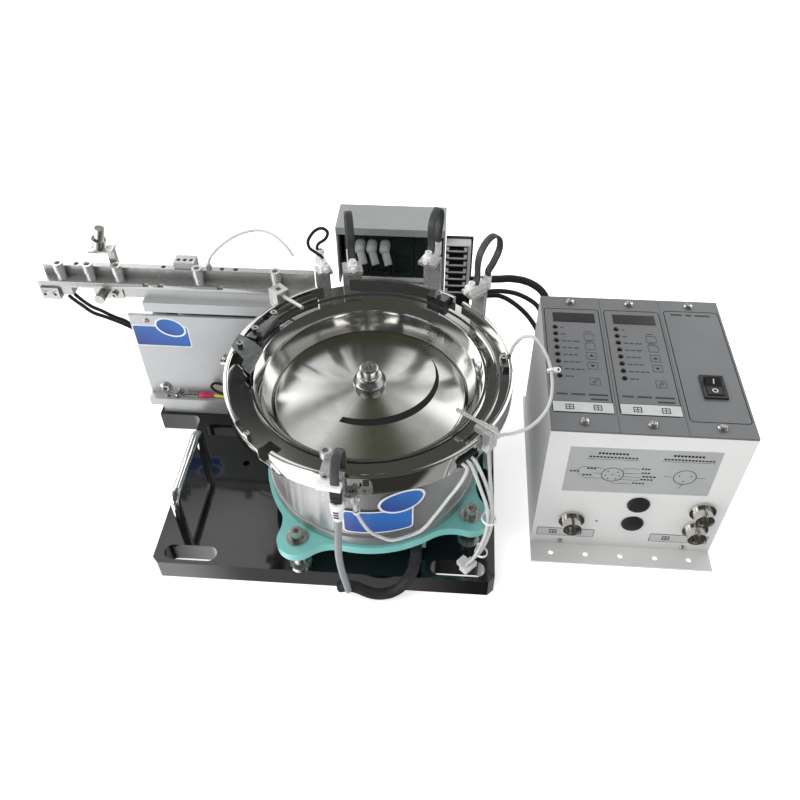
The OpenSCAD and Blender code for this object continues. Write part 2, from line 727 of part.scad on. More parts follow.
// --- front clamp: two-part block on the rim's front wall
clamp_angle = -96.5;
clamp_w = 15;
module front_clamp() {
    color([0.6, 0.6, 0.6])
    at_rim(clamp_angle) difference() {
        union() {
            translate([eps, -clamp_w / 2, -rim_h - 4]) cube([6, clamp_w, rim_h + 10]);
            translate([-14, -clamp_w / 2, 1]) cube([20, clamp_w * 0.55, 9]);
            translate([-8, -clamp_w / 2 + 1, 10 - eps]) cylinder(d = 8, h = 6);
            // ear with the barrel of the thin tube
            translate([1, clamp_w / 2 - eps, -20]) cube([3, 6, 4]);
            translate([2.5, 13.5, -22]) cylinder(r = 2.2, h = 8);
        }
        translate([-8, -clamp_w / 2 + 1, 12]) cylinder(d = 4.6, h = 6, $fn = 6);
        translate([-20, -clamp_w / 2 + 3.5, 5.5]) rotate([0, 90, 0]) cylinder(d = 3.2, h = 40);
    }
}

// --- nozzles: a rod over the track on the right, and another at the rear left
module nozzle_rod(length, r) {
    difference() {
        cylinder(r = r, h = length);
        translate([0, 0, -1]) cylinder(r = r * 0.5, h = 6);
    }
}
module air_nozzles() {
    color([0.82, 0.82, 0.82]) {
        // right: block on the rim's wall and a rod that reaches over the disc
        at_rim(-36) difference() {
            union() {
                translate([eps, -5, -12]) cube([6, 10, 18]);
                translate([-8, -4, 1]) cube([9, 8, 5]);
            }
            translate([-40, 0, 9]) rotate([0, 90, 0]) cylinder(r = 1.5, h = 80);
        }
        at_rim(-36) translate([-26, 0, 7.4]) rotate([0, 90, 0]) nozzle_rod(36, 1.4);
        // rear left: hexagon-socket block and its rod
        at_rim(136) difference() {
            translate([eps, -6, -10]) cube([12, 12, 17]);
            translate([6, 0, 0]) cylinder(d = 5, h = 20, $fn = 6);
        }
        at_rim(136) translate([0, 0, 3]) rotate([0, -82, 0]) nozzle_rod(27, 1.6);
    }
}

// ------------------------------------------------------------------ linear feeder

line_x0 = -line_left;
line_x1 = line_x0 + line_l;
riser_h = 8.5;
line_base_t = 8.5;
line_base_z = base_top + riser_h;
line_floor = line_base_z + line_base_t;
cover_y0 = line_front + 9;
cover_t = 3;
cover_gap = 44;                             // between the covers
cover_y1 = cover_y0 + cover_t + cover_gap;
carrier_z = line_floor + line_cover_h + 4;
carrier_t = 10;
rail_z = track_z - 6;                       // underside of the front rail
rail_x0 = -298;
rail_end_r = rim_r + 1.5;                   // the rails stop short of the rim

module linear_riser() {
    color([0.7, 0.7, 0.7])
    box_between([line_x0 + 12, line_front, base_top], [line_x1, cover_y1 + cover_t, base_top + riser_h]);
}

module linear_base() {
    color([0.72, 0.72, 0.73])
    difference() {
        union() {
            box_between([line_x0, line_front, line_base_z], [line_x1, cover_y1 + cover_t, line_floor]);
            box_between([line_x0 + 6, cover_y0 + cover_t, line_floor - eps], [line_x1 - 6, cover_y1, line_block_z]);
            // clamps of the leaf springs
            intersection() {
                at_line_springs() translate([line_leaf_t / 2, -line_leaf_w / 2 - 2, -line_leaf_l / 2 - 12])
                    cube([12, line_leaf_w + 4, 12 + clamp_l]);
                box_between([line_x0, cover_y0, line_block_z - 1], [line_x1, cover_y1, line_block_z + 30]);
            }
        }
        translate([line_x0 + 18, line_front + 4.5, line_base_z - 1]) cylinder(r = 1.6, h = 20);
    }
}

module linear_covers() {
    color([0.72, 0.73, 0.74])
    for (y = [cover_y0, cover_y1]) {
        box_between([line_x0, y, line_floor], [line_x1 + 12, y + cover_t, line_floor + line_cover_h]);
    }
}

// leaf springs at both ends, leaning towards the bowl
line_block_z = line_floor + 18;
line_mid_x = (line_x0 + line_x1) / 2;
line_mid_y = cover_y0 + cover_t + cover_gap / 2;
line_leaf_t = 1.5;
line_leaf_w = 32;
line_lean = 12;
line_leaf_l = (carrier_z - line_block_z - 2) / cos(line_lean);
module at_line_springs() {
    for (s = [-1, 1]) translate([line_mid_x + s * (line_l / 2 - 26), line_mid_y, (line_block_z + carrier_z) / 2])
        rotate([0, line_lean, 0]) children();
}
module linear_springs() {
    color([0.5, 0.5, 0.52])
    at_line_springs() cube([line_leaf_t, line_leaf_w, line_leaf_l], center = true);
}
module linear_magnet() {
    color([0.3, 0.3, 0.32]) {
        translate([line_mid_x, line_mid_y, line_floor + 18]) {
            translate([-18, -12, 0]) cube([36, 24, 30]);
            difference() {
                translate([-24, -16, 6]) cube([48, 32, 18]);
                translate([-18 - eps, -12 - eps, 0]) cube([36 + 2 * eps, 24 + 2 * eps, 40]);
            }
        }
    }
}

earth_x = line_x0 + 27;
module earth_terminal() {
    color([0.8, 0.75, 0.6])
    translate([earth_x, line_front + 5, line_floor]) {
        difference() {
            cylinder(r = 3.7, h = 1);
            translate([0, 0, -1]) cylinder(r = 1.7, h = 5);
        }
        translate([3, -1.6, 0]) cube([5, 3.2, 1]);
        translate([0, 0, 1]) pan_head(3, 2.4, m3_r, 1);
        // magenta sleeve on the ring's barrel
        translate([8 - eps, 0, 2.2]) rotate([0, 90, 0]) cylinder(r = 2.2, h = 12);
    }
}

module track_carrier() {
    color([0.85, 0.85, 0.85])
    difference() {
        union() {
            box_between([line_x0 + 16 + swing_gap, cover_y0, carrier_z],
                [line_x1 + 10, cover_y1 + cover_t, carrier_z + carrier_t]);
            // riser under the rails
            box_between([line_x0, rail_y0, carrier_z + carrier_t - eps],
                [line_x1 + 10, rail_y0 + front_rail_w + back_rail_w, rail_z]);
            // upper clamps of the leaf springs, one beside each leaf
            intersection() {
                at_line_springs() translate([-line_leaf_t / 2 - swing_gap - 12, -line_leaf_w / 2 - 2, line_leaf_l / 2 - clamp_l])
                    cube([12, line_leaf_w + 4, clamp_l + 12]);
                box_between([line_x0, cover_y0, carrier_z - 30], [line_x1, cover_y1, carrier_z + 1]);
            }
            // armature over the magnet
            box_between([line_mid_x - 18, line_mid_y - 12, line_floor + 49],
                [line_mid_x + 18, line_mid_y + 12, carrier_z + eps]);
        }
        translate([0, 0, rim_z - 1.5]) cylinder(r = rail_end_r, h = 40);
    }
}

// fixing holes of the rails, measured from the bowl axis
PILLARS = [-277, -251, -226, -156, -89];
pillar_y = rail_y0 + front_rail_w / 2;
m4_r = 2;
module rail_cut() {
    translate([0, 0, rail_z - 1]) cylinder(r = rail_end_r, h = 40);
}
module front_rail() {
    color([0.78, 0.78, 0.77])
    difference() {
        box_between([rail_x0, rail_y0, rail_z], [rail_x0 + rail_l, rail_y0 + front_rail_w, track_z]);
        rail_cut();
        for (x = PILLARS) translate([x, pillar_y, rail_z - 1]) cylinder(r = m4_r + seat, h = 10);
        // small sight slots in the front edge
        for (x = [93, 106, 158]) translate([rail_x0, 0, 0]) box_between([x, rail_y0 - 1, track_z - 2.5], [x + 5, rail_y0 + 2, track_z + 1]);
    }
}
back_rail_top = track_z + 10;
module back_rail() {
    color([0.75, 0.75, 0.74])
    difference() {
        union() {
            box_between([rail_x0 + 4, rail_y0 + front_rail_w, rail_z],
                [rail_x0 + rail_l, rail_y0 + front_rail_w + back_rail_w, back_rail_top]);
            // block with three holes
            box_between([rail_x0 + 120, rail_y0 + front_rail_w + back_rail_w - eps, track_z],
                [rail_x0 + 138, rail_y0 + front_rail_w + back_rail_w + 7, back_rail_top + 6]);
            box_between([rail_x0 + 120, rail_y0 + front_rail_w + 1, back_rail_top - eps],
                [rail_x0 + 138, rail_y0 + front_rail_w + back_rail_w, back_rail_top + 6]);
        }
        rail_cut();
        for (x = [123.5, 129, 134.5]) translate([rail_x0 + x, rail_y0 + front_rail_w + back_rail_w, back_rail_top])
            cylinder(r = 1.7, h = 10);
        for (x = [33, 110, 161, 173]) translate([rail_x0 + x, rail_y0 + front_rail_w + back_rail_w / 2, back_rail_top - 4])
            cylinder(r = 2, h = 10);
    }
    // fitting of the thin tube
    translate([rail_x0 + 150, rail_y0 + front_rail_w + back_rail_w / 2, back_rail_top - eps]) cylinder(r = 2.4, h = 4);
}

module rail_pillars() {
    color([0.68, 0.68, 0.67])
    for (x = PILLARS) translate([x, pillar_y, track_z]) {
        difference() {
            cylinder(d = pillar_d - 1, h = pillar_h);
            translate([0, 0, -1]) cylinder(r = m4_r + seat, h = pillar_h + 2);
        }
        translate([0, 0, pillar_h]) difference() {
            union() {
                cylinder(d = pillar_d, h = 8);
                translate([0, 0, -pillar_h - 5]) cylinder(r = m4_r, h = pillar_h + 5 + eps);
            }
            translate([0, 0, 4]) cylinder(r = 2.6, h = 6, $fn = 6);
        }
    }
}

// --- block under the rails' left end
module track_stop() {
    color([0.7, 0.7, 0.68])
    difference() {
        union() {
            box_between([rail_x0 + 1, rail_y0 - 2, rail_z - 12], [rail_x0 + 17, rail_y0 + 14, rail_z]);
            box_between([rail_x0 + 17 - eps, rail_y0 + 1, rail_z - 9], [rail_x0 + 28, rail_y0 + 12, rail_z]);
        }
        for (x = [4, 13]) translate([rail_x0 + x, rail_y0 - 3, rail_z - 7]) rotate([-90, 0, 0]) cylinder(r = 1.3, h = 8);
    }
}

// --- sensor under the rails, and the tilted one above them
module track_sensor() {
    color([0.66, 0.66, 0.65]) {
        // block under the rails with its clamp screw and round lens
        difference() {
            box_between([-250, rail_y0, rail_z - 10], [-224.5, rail_y0 + 12, rail_z]);
            translate([-232, rail_y0 - 1, rail_z - 5]) rotate([-90, 0, 0]) cylinder(r = 1.6, h = 20);
        }
        translate([-243, rail_y0, rail_z - 5.5]) rotate([90, 0, 0]) cylinder(r = 4.4, h = 9);
        translate([-232, rail_y0, rail_z - 5]) rotate([90, 0, 0]) cap_screw(m3_r, m3_head_r, m3_head_h, 6);
        // post, plate, collar and barrel of the tilted sensor
        ty = rail_y0 + front_rail_w + back_rail_w;
        difference() {
            union() {
                box_between([-236, ty, track_z], [-230, ty + 5, back_rail_top + 14]);
                box_between([-251, ty - 4, back_rail_top + 12], [-230, ty + 8, back_rail_top + 14]);
            }
            translate([-243, ty + 2, back_rail_top + 10]) cylinder(r = 2.6, h = 8);
        }
        translate([-243, ty + 2, back_rail_top + 14.6]) rotate([0, 18, 0]) {
            translate([0, 0, 1]) difference() {
                cylinder(r = 6, h = 8);
                translate([0, 0, -1]) cylinder(r = 4, h = 12);
            }
            cylinder(r = 4, h = 20);
        }
    }
}

// ------------------------------------------------------------------ valve bank

valve_x0 = -44;
valve_x1 = valve_x0 + valve_w;
valve_y0 = plate_y1 - 2 - valve_d;
sheet_t = 1.5;
valve_foot_z = base_top;
bank_h = 56;           // height of the valves and the space over them
bank_z = valve_top - bank_h;
term_w = 22;           // width of the terminal block
term_d = 10;
term_drop = 16;         // from the valve cover's top down to the block's
term_low = 98;         // height of its underside above the plate
term_pitch = 7.5;
module valve_cover() {
    color([0.8, 0.81, 0.81]) {
        box_between([valve_x0, valve_y0, valve_top - sheet_t], [valve_x1, valve_y0 + valve_d, valve_top]);
        box_between([valve_x0, valve_y0, valve_top - 7], [valve_x1, valve_y0 + sheet_t, valve_top - sheet_t + eps]);
        box_between([valve_x0, valve_y0 + valve_d - sheet_t, valve_foot_z + 30],
            [valve_x1, valve_y0 + valve_d, valve_top - sheet_t + eps]);
        box_between([valve_x0, valve_y0 + sheet_t - eps, bank_z - 4],
            [valve_x0 + sheet_t, valve_y0 + valve_d, valve_top - sheet_t + eps]);
        box_between([valve_x1 - sheet_t, valve_y0 + sheet_t - eps, bank_z - 4],
            [valve_x1, valve_y0 + valve_d, valve_top - sheet_t + eps]);
    }
}
stand_y1 = valve_y0 + valve_d - sheet_t;
module valve_stand() {
    color([0.55, 0.56, 0.56])
    difference() {
        union() {
            box_between([valve_x0 + 8, valve_y0 + 8, valve_foot_z], [valve_x1 - 8, stand_y1 - 2, valve_foot_z + 4]);
            box_between([valve_x0 + 8, stand_y1 - 6, valve_foot_z], [valve_x1 - 8, stand_y1, bank_z]);
            box_between([valve_x0 + 4, valve_y0 + 6, bank_z - 4], [valve_x1 - 4, stand_y1, bank_z]);
        }
        for (x = [valve_x0 + 20, valve_x1 - 20]) translate([x, valve_y0 + 17, valve_foot_z - 1]) cylinder(r = 2.7, h = 8);
    }
}
module valve_bank() {
    color([0.03, 0.07, 0.06])
    for (i = [0 : 3]) {
        x = valve_x0 + 6 + i * 21;
        difference() {
            box_between([x, valve_y0 + 7, bank_z], [x + 20.4, stand_y1 - 3, valve_top - sheet_t - 6]);
            box_between([x + 3, valve_y0 + 6, bank_z + 6], [x + 17.4, valve_y0 + 9, bank_z + 24]);
        }
    }
}
ELBOWS = [-23, -12.5, -1];
elbow_z = valve_top - 20;
module elbow_fittings() {
    color([0.62, 0.62, 0.6])
    for (x = ELBOWS) translate([x, valve_y0 + 7, elbow_z]) {
        rotate([90, 0, 0]) cylinder(r = 4.8, h = 9);
        translate([0, -9, 0]) sphere(r = 4.8);
        translate([0, -9, 0]) rotate([140, 0, 0]) rotate([0, 18, 0]) difference() {
            cylinder(r = 3.6, h = 14);
            translate([0, 0, 10]) cylinder(r = 2.2, h = 6);
        }
    }
}
term_x0 = valve_x1 + 1;
module terminal_block() {
    color([0.05, 0.06, 0.06])
    difference() {
        box_between([term_x0, valve_y0 + 2, valve_foot_z + term_low], [term_x0 + term_w, valve_y0 + 2 + term_d, valve_top - term_drop]);
        for (i = [0 : 6]) box_between([term_x0 - 1, valve_y0 + 1, valve_foot_z + term_low + 5 + i * term_pitch],
            [term_x0 + term_w - 4, valve_y0 + 8, valve_foot_z + term_low + 8 + i * term_pitch]);
    }
    // foot bracket of the terminal block
    color([0.6, 0.6, 0.6]) {
        box_between([term_x0, valve_y0 + 2 + term_d, valve_foot_z], [term_x0 + term_w + 2, valve_y0 + 5 + term_d, valve_top - term_drop + 2]);
        box_between([term_x0, valve_y0 + 5 + term_d - eps, valve_foot_z], [term_x0 + term_w + 2, valve_y0 + 19 + term_d, valve_foot_z + 3]);
    }
}

// ------------------------------------------------------------------ controller

case_x0 = plate_x1 + case_gap;
case_w = 3 * module_w;
case_x1 = case_x0 + case_w;
case_y0 = -36;
case_y1 = case_y0 + case_d;
wall_t = 2;
case_floor = 1.5;
function module_x(i) = case_x0 + i * module_w;

SOCKETS = [[30, 36.7], [131, 56.8], [131, 32.8]];      // from the case's left edge, and height
CAPS = [[79.7, 60.8], [79.7, 35.8]];
FACE_SCREWS = [24.6, 127];                              // low on the front, from the left edge
socket_r = 8;
cap_r = 9;
module at_front(list) {
    for (p = list) translate([case_x0 + p[0], case_y0, p[1]]) rotate([90, 0, 0]) children();
}
// cables in the back wall: from the left edge, height, and the cable's radius
CABLE_ENTRIES = [[12, 104, 3.4], [12, 84, 2.2], [12, 64, 2.2]];
module controller_case() {
    color([0.88, 0.88, 0.88])
    difference() {
        union() {
            translate([case_x0, case_y0, 0]) cube([case_w, case_d, case_h]);
            translate([case_x0, case_y0 - flange_d, 0]) cube([case_w, flange_d + eps, case_floor]);
            translate([case_x0, case_y1 - eps, 0]) cube([case_w, flange_d, case_floor]);
        }
        translate([case_x0 + wall_t, case_y0 + wall_t, case_floor])
            cube([case_w - 2 * wall_t, case_d - 2 * wall_t, case_h]);
        at_front(SOCKETS) translate([0, 0, -wall_t - 1]) cylinder(r = socket_r - 0.3, h = wall_t + 2);
        at_front(CAPS) translate([0, 0, -wall_t - 1]) cylinder(r = cap_r - 1, h = wall_t + 2);
        for (p = [[51, 36], [FACE_SCREWS[0], 6.5], [FACE_SCREWS[1], 6.5]])
            translate([case_x0 + p[0], case_y0 + 3, p[1]]) rotate([90, 0, 0]) cylinder(r = 1.2 + seat, h = 5);
        for (x = [17, 46, 75, 104, 132], y = [case_y0 - flange_d / 2, case_y1 + flange_d / 2])
            translate([case_x0 + x, y, -1]) cylinder(r = 2.2, h = 4);
        for (p = CABLE_ENTRIES) translate([case_x0 + p[0], case_y1 + 1, p[1]]) rotate([90, 0, 0])
            cylinder(r = p[2] + 0.3, h = wall_t + 2);
        // vent slots low in the side
        for (i = [0 : 6]) box_between([case_x1 - wall_t - 1, case_y0 + 30 + i * 14, 30], [case_x1 + 1, case_y0 + 36 + i * 14, 70]);
    }
}

PANEL_SCREW_Y = [case_d - 7.5, 9];                      // from the case's front
DISPLAY = [9, case_d - 34, 35, 12];                             // left, front, width and depth on a module
switch_x = module_x(2) + 17.5;
switch_y = case_y0 + 39;
module controller_panels() {
    color([0.48, 0.48, 0.48])
    translate([0, 0, case_h]) difference() {
        for (i = [0 : 2]) translate([module_x(i) + 0.15, case_y0, 0]) cube([module_w - 0.3, case_d, panel_t]);
        for (i = [0 : 2], y = PANEL_SCREW_Y) translate([module_x(i) + module_w / 2, case_y0 + y, -1])
            cylinder(r = m4_r + seat, h = panel_t + 2);
        for (i = [0, 1]) translate([module_x(i) + DISPLAY[0], case_y0 + DISPLAY[1], -1])
            cube([DISPLAY[2], DISPLAY[3], panel_t + 2]);
        translate([switch_x + 1, switch_y + 1, -1]) cube([switch_w - 2, switch_l - 2, panel_t + 2]);
    }
}
module display_windows() {
    color([0.02, 0.02, 0.025])
    for (i = [0, 1]) translate([module_x(i) + DISPLAY[0] + 0.1, case_y0 + DISPLAY[1] + 0.1, case_h - 1])
        cube([DISPLAY[2] - 0.2, DISPLAY[3] - 0.2, panel_t + 1.3]);
}
module panel_screws() {
    color([0.85, 0.85, 0.85]) {
        for (i = [0 : 2], y = PANEL_SCREW_Y)
            translate([module_x(i) + module_w / 2, case_y0 + y, case_h + panel_t]) pan_head(3.8, 2.6, m4_r, panel_t + 3);
        for (x = FACE_SCREWS) translate([case_x0 + x, case_y0, 6.5]) rotate([90, 0, 0]) pan_head(2.6, 1.8, 1.2, wall_t + 2);
    }
}
module round_sockets() {
    color([0.75, 0.75, 0.73])
    at_front(SOCKETS) difference() {
        union() {
            translate([0, 0, eps]) cylinder(r = 10.5, h = 2);
            cylinder(r = socket_r - 0.5, h = 11);
            translate([0, 0, -wall_t - 6]) cylinder(r = socket_r - 0.5, h = wall_t + 7);
        }
        translate([0, 0, 3]) cylinder(r = socket_r - 1.8, h = 12);
        // keyway
        translate([-1.2, socket_r - 3, 3]) cube([2.4, 3, 12]);
    }
    at_front(SOCKETS) for (k = [0 : 3]) rotate(90 * k + 45) translate([2.8, 0, 2.9]) cylinder(r = 0.8, h = 3, $fn = 16);
}
module blank_caps() {
    color([0.03, 0.03, 0.03])
    at_front(CAPS) {
        rotate_extrude() polygon([[0, eps], [cap_r, eps], [cap_r, 1], [cap_r - 1.2, 2.4], [0, 2.8]]);
        translate([0, 0, -wall_t - 2]) cylinder(r = cap_r - 1.4, h = wall_t + 2 + 2 * eps);
    }
}

// --- rocker switch in the third panel
bezel = 1.6;
rocker_gap = 0.4;
switch_z = case_h + panel_t;
module switch_frame() {
    color([0.04, 0.04, 0.045])
    difference() {
        union() {
            translate([switch_x, switch_y, switch_z]) cube([switch_w, switch_l, 1.8]);
            translate([switch_x + 1.1, switch_y + 1.1, switch_z - 12]) cube([switch_w - 2.2, switch_l - 2.2, 12 + eps]);
        }
        translate([switch_x + bezel + 1, switch_y + bezel + 1, switch_z - 10])
            cube([switch_w - 2 * bezel - 2, switch_l - 2 * bezel - 2, 20]);
        translate([switch_x - 1, switch_y + switch_l / 2, pivot_z]) rotate([0, 90, 0]) cylinder(r = 1.5, h = switch_w + 2);
    }
}
pivot_z = switch_z - 2.5;
rocker_w = switch_w - 2 * bezel - 2 - 2 * rocker_gap;
rocker_l = switch_l - 2 * bezel - 2 - 2 * 1.1;
rocker_rest = 9;       // tilt of the rocker when it is off
// the rocker pivots on pins in the frame's walls
module switch_rocker() {
    color([0.02, 0.02, 0.02])
    translate([switch_x + switch_w / 2, switch_y + switch_l / 2, pivot_z]) rotate([rocker_rest, 0, 0]) {
        translate([-rocker_w / 2, 0, 0]) rotate([90, 0, 90]) linear_extrude(rocker_w) difference() {
            polygon([[-rocker_l / 2, -1.5], [rocker_l / 2, -1.5], [rocker_l / 2 - 0.2, 6.4], [0, 4.6], [-rocker_l / 2 + 0.2, 6.4]]);
        }
        translate([-rocker_w / 2 - 1.9, 0, 0]) rotate([0, 90, 0]) cylinder(r = 1.45, h = rocker_w + 3.8);
    }
}

// ------------------------------------------------------------------ cords

// three cables from the valve bank to the controller's back
CABLE_ROUTES = [
    [[75.4, 157, 132], [84, 157, 132.6], [94, 157.5, 133.4], [103.4, 158, 133.7], [113.3, 158, 134.6], [126, 156, 134], [136.8, 150, 132.3], [144, 144.5, 127], [147.5, 138.5, 118], [149, 132, 108.5], [149, 127, 104.4], [149, 122, 104]],
    [[75.4, 156, 121], [84, 156.5, 120], [94, 158, 119], [104.7, 160, 118.5], [118.3, 157, 119], [130, 150, 118.5], [138.6, 143, 116], [143.5, 138, 109], [147, 133, 97], [149, 128.5, 87], [149, 125.5, 84.2], [149, 122, 84]],
    [[75.4, 158, 111], [84, 160, 111], [94, 162, 111], [105.4, 163, 110.4], [116.9, 160, 106.2], [129, 150, 102], [138, 139.5, 96], [144, 134, 86], [147.5, 130, 74], [149, 127, 66.5], [149, 125, 64.2], [149, 122, 64]]];
module controller_cables() {
    color([0.03, 0.03, 0.035])
    for (i = [0 : 2]) tube(CABLE_ROUTES[i], CABLE_ENTRIES[i][2]);
}

front_tube_r = 2.7;
FRONT_TUBE = [[-9.7, -119.9, 134.7], [-10.6, -120, 122], [-11.8, -120, 104], [-12.4, -119, 92], [-12.5, -117, 77], [-12, -114, 58], [-11.2, -110.5, 41], [-10.4, -107.4, 24]];
module front_tube() {
    color([0.6, 0.6, 0.6]) tube(FRONT_TUBE, front_tube_r);
}
SLEEVE = [[-19, -99, 14.5], [-11, -100, 18], [-4, -100, 16], [4, -100, 10.5], [12, -100, 8.5], [21, -99.8, 11], [29, -99.2, 18], [35, -96.5, 26], [39.5, -91, 32], [41, -82, 35.5], [41, -72, 36], SLEEVE_ENTRY];
module braided_sleeve() {
    color([0.03, 0.03, 0.035]) tube(SLEEVE, sleeve_r, 1, 10);
}

air_r = 1.3;
// two tubes from the port, the one from the right nozzle, the thin one round the casing, and the loop on the right
// the plug that the tubes end in, just above the plate
TUBE_ENDS = [[80.6, -82, 25], [83.2, -79.2, 25], [85.8, -76.4, 25]];
module tube_plug() {
    difference() {
        union() {
            translate([TUBE_ENDS[1][0], TUBE_ENDS[1][1], 0]) rotate([0, 0, 47]) box_between([-6.5, -3.6, base_top + 2.2], [6.5, 3.6, base_top + 8]);
            translate([TUBE_ENDS[1][0], TUBE_ENDS[1][1], 0]) rotate([0, 0, 47]) box_between([-4, 3.5, base_top + 2.8], [4, 9, base_top + 6.8]);
        }
        for (p = TUBE_ENDS) translate([p[0], p[1], p[2] - 0.35]) cylinder(r = air_r + 0.8, h = 6);
    }
}
AIR_ROUTES = [
    [[73.4, -79.2, 156.5], [77.6, -83.5, 156.4], [82, -86, 147], [87, -85.5, 130], [92.3, -84.5, 110], [94, -84, 90], [92.5, -84, 70], [87, -83.5, 45], [82, -82.4, 33], TUBE_ENDS[0]],
    [[76.6, -76.2, 156.5], [80.8, -80.5, 156.4], [86, -83.5, 147], [91, -82.5, 130], [95.3, -81.6, 110], [96.8, -81.2, 90], [95.3, -81.2, 70], [90, -80.6, 45], [84.6, -79.6, 33], TUBE_ENDS[1]],
    [[90.6, -65.8, 153.7], [91.3, -66.8, 145], [93.3, -69, 128], [96, -74, 108], [97.8, -77.4, 90], [97.2, -77.9, 70], [92.5, -77.6, 45], [87.2, -76.8, 33], TUBE_ENDS[2]],
    [[1, -111.7, 143.6], [1.7, -111.8, 131.6], [9, -109, 108], [18, -106, 96], [25, -103.5, 90], [35.4, -99.7, 90], [46, -96, 94], [55, -93, 108], [64, -90, 125], [69.5, -90.5, 138], [73.5, -90.5, 149], [75.5, -87.7, 156.3], [70.3, -82.3, 156.5]],
    [[106.5, 19.7, 166.4], [109, 21.5, 174], [115.5, 21, 183], [124, 16.5, 184.5], [133, 5, 176], [136, -12, 169], [134, -28, 164], [128, -39, 160], [119, -47, 156.5], [108.5, -51, 154], [100.8, -53.5, 154.5], [96.2, -58.2, 156.5], [93.8, -61.5, 157]]];
module air_tubes() {
    color([0.9, 0.9, 0.9])
    for (r = AIR_ROUTES) tube(r, air_r);
}

RAIL_TUBE = [[-148, 108, 174.5], [-144, 109, 183], [-132, 112, 194], [-118, 114, 202], [-102, 113, 207], [-88, 106, 208], [-77, 98, 204], [-70, 93, 197]];
module rail_tube() {
    color([0.9, 0.9, 0.9]) tube(RAIL_TUBE, 1.1);
}

track_cable_r = 1.6;
TRACK_CABLES = [
    [[-277, 99.5, 141.6], [-273, 97.5, 139], [-264, 93, 136], [-255, 90, 131], [-244, 91, 125], [-233, 92.5, 118], [-227, 96, 110], [-224.5, 104, 98], [-224.5, 112, 80]],
    [[-275, 103.5, 144], [-273.5, 103, 140.8], [-266, 99, 137], [-258, 96, 133], [-249, 95, 129], [-240, 96, 122], [-232.5, 99, 115], [-229.5, 103.5, 104], [-228.8, 110, 90], [-227, 116, 78], [-224.6, 121, 68]]];
module track_cables() {
    color([0.2, 0.2, 0.2])
    for (r = TRACK_CABLES) tube(r, track_cable_r);
}

EARTH_WIRES = [
    [[-175.5, 84, 39.5], [-168, 84, 40], [-158, 83, 40.5], [-146, 81, 41], [-134, 77, 40], [-122, 68, 38], [-111, 55, 37], [-100, 41, 36.5], [-88, 31, 36], [-78, 27, 36], WIRE_ENTRIES[0]],
    [[-150, 86.6, 52], [-158, 85, 55], [-161, 83, 52], [-156, 81, 48], [-146, 79, 46], [-134, 74, 44], [-123, 64, 42], [-112, 50, 41], [-101, 36, 40.5], [-89, 25, 40], [-79, 21, 40], WIRE_ENTRIES[1]]];
module earth_wires() {
    color([0.9, 0.8, 0.1])
    for (r = EARTH_WIRES) tube(r, wire_r);
}

// loops of flat fibre cable, each from a sensor head up and back down behind its bracket
lead_r = 1.0;
lead_wide = 3.2;
// one for each bracket: the first is a round cable
LEAD_LOOPS = [
    [[8, 0, 0.3], [8, 0, 4], [9, 4.5, 9], [10.5, 9, 14], [12, 9, 20], [13.5, 3, 26], [15.5, -4, 26], [17.5, -9, 20], [19.3, -7.5, 13], [20.6, -2, 9], [20.8, 0, 6], [20.8, 0, 3.2]],
    [[8, 0, 0.3], [9.5, 0, 7], [8, 0, 19], [9, 0, 30], [13, 0, 37], [19, 0, 39], [24, 0, 34], [25, 0, 25], [23, 0, 14], [21.1, 0, 7], [20.8, 0, 3.2]],
    [[8, 0, 0.3], [9.5, 0, 7], [8, 0, 16], [9, 0, 26], [13.5, 0, 32], [19.5, 0, 34], [24.5, 0, 29], [25, 0, 21], [22.8, 0, 13], [21.1, 0, 7], [20.8, 0, 3.2]],
    [[8, 0, 0.3], [9.5, 0, 7], [9, 0, 18], [11, 0, 28], [17, 0, 36], [24, 0, 38], [30, 0, 33], [31, 0, 23], [26, 0, 13], [21.2, 0, 7], [20.8, 0, 3.2]]];
module fibre_leads() {
    color([0.05, 0.05, 0.055])
    for (i = [0 : 3]) let (b = REAR_BRACKETS[i]) at_rim(b[0]) translate([-b[2], 0, b[1] + head_h])
        tube(LEAD_LOOPS[i], i == 0 ? 1.3 : lead_r, i == 0 ? 1 : lead_wide);
    color([0.05, 0.05, 0.055])
    at_rim(clamp_angle) tube(CLAMP_LOOP, lead_r, lead_wide);
}
clamp_reach = 11.2;    // how far the front cable stands off the rim
CLAMP_LOOP = [[-8, 4, 0.3], [-9, 4, 12], [-6, 4, 21], [1, 4, 24], [7, 4, 21], [clamp_reach, 4, 11], [clamp_reach, 4, 0], [clamp_reach, 4, -11.8]];
module lead_sleeves() {
    color([0.95, 0.95, 0.95]) {
        at_rim(clamp_angle) translate([clamp_reach, 4, -31]) rotate_extrude() polygon([[0, 0], [2.9, 0], [4.4, 4], [4.8, 14], [4.8, 18.9], [0, 18.9]]);
        for (b = REAR_BRACKETS) at_rim(b[0]) translate([-b[2] + 20.8, 0, b[1] + head_h - 10])
            cylinder(r = 3.3, h = 13);
        tube_plug();
    }
}

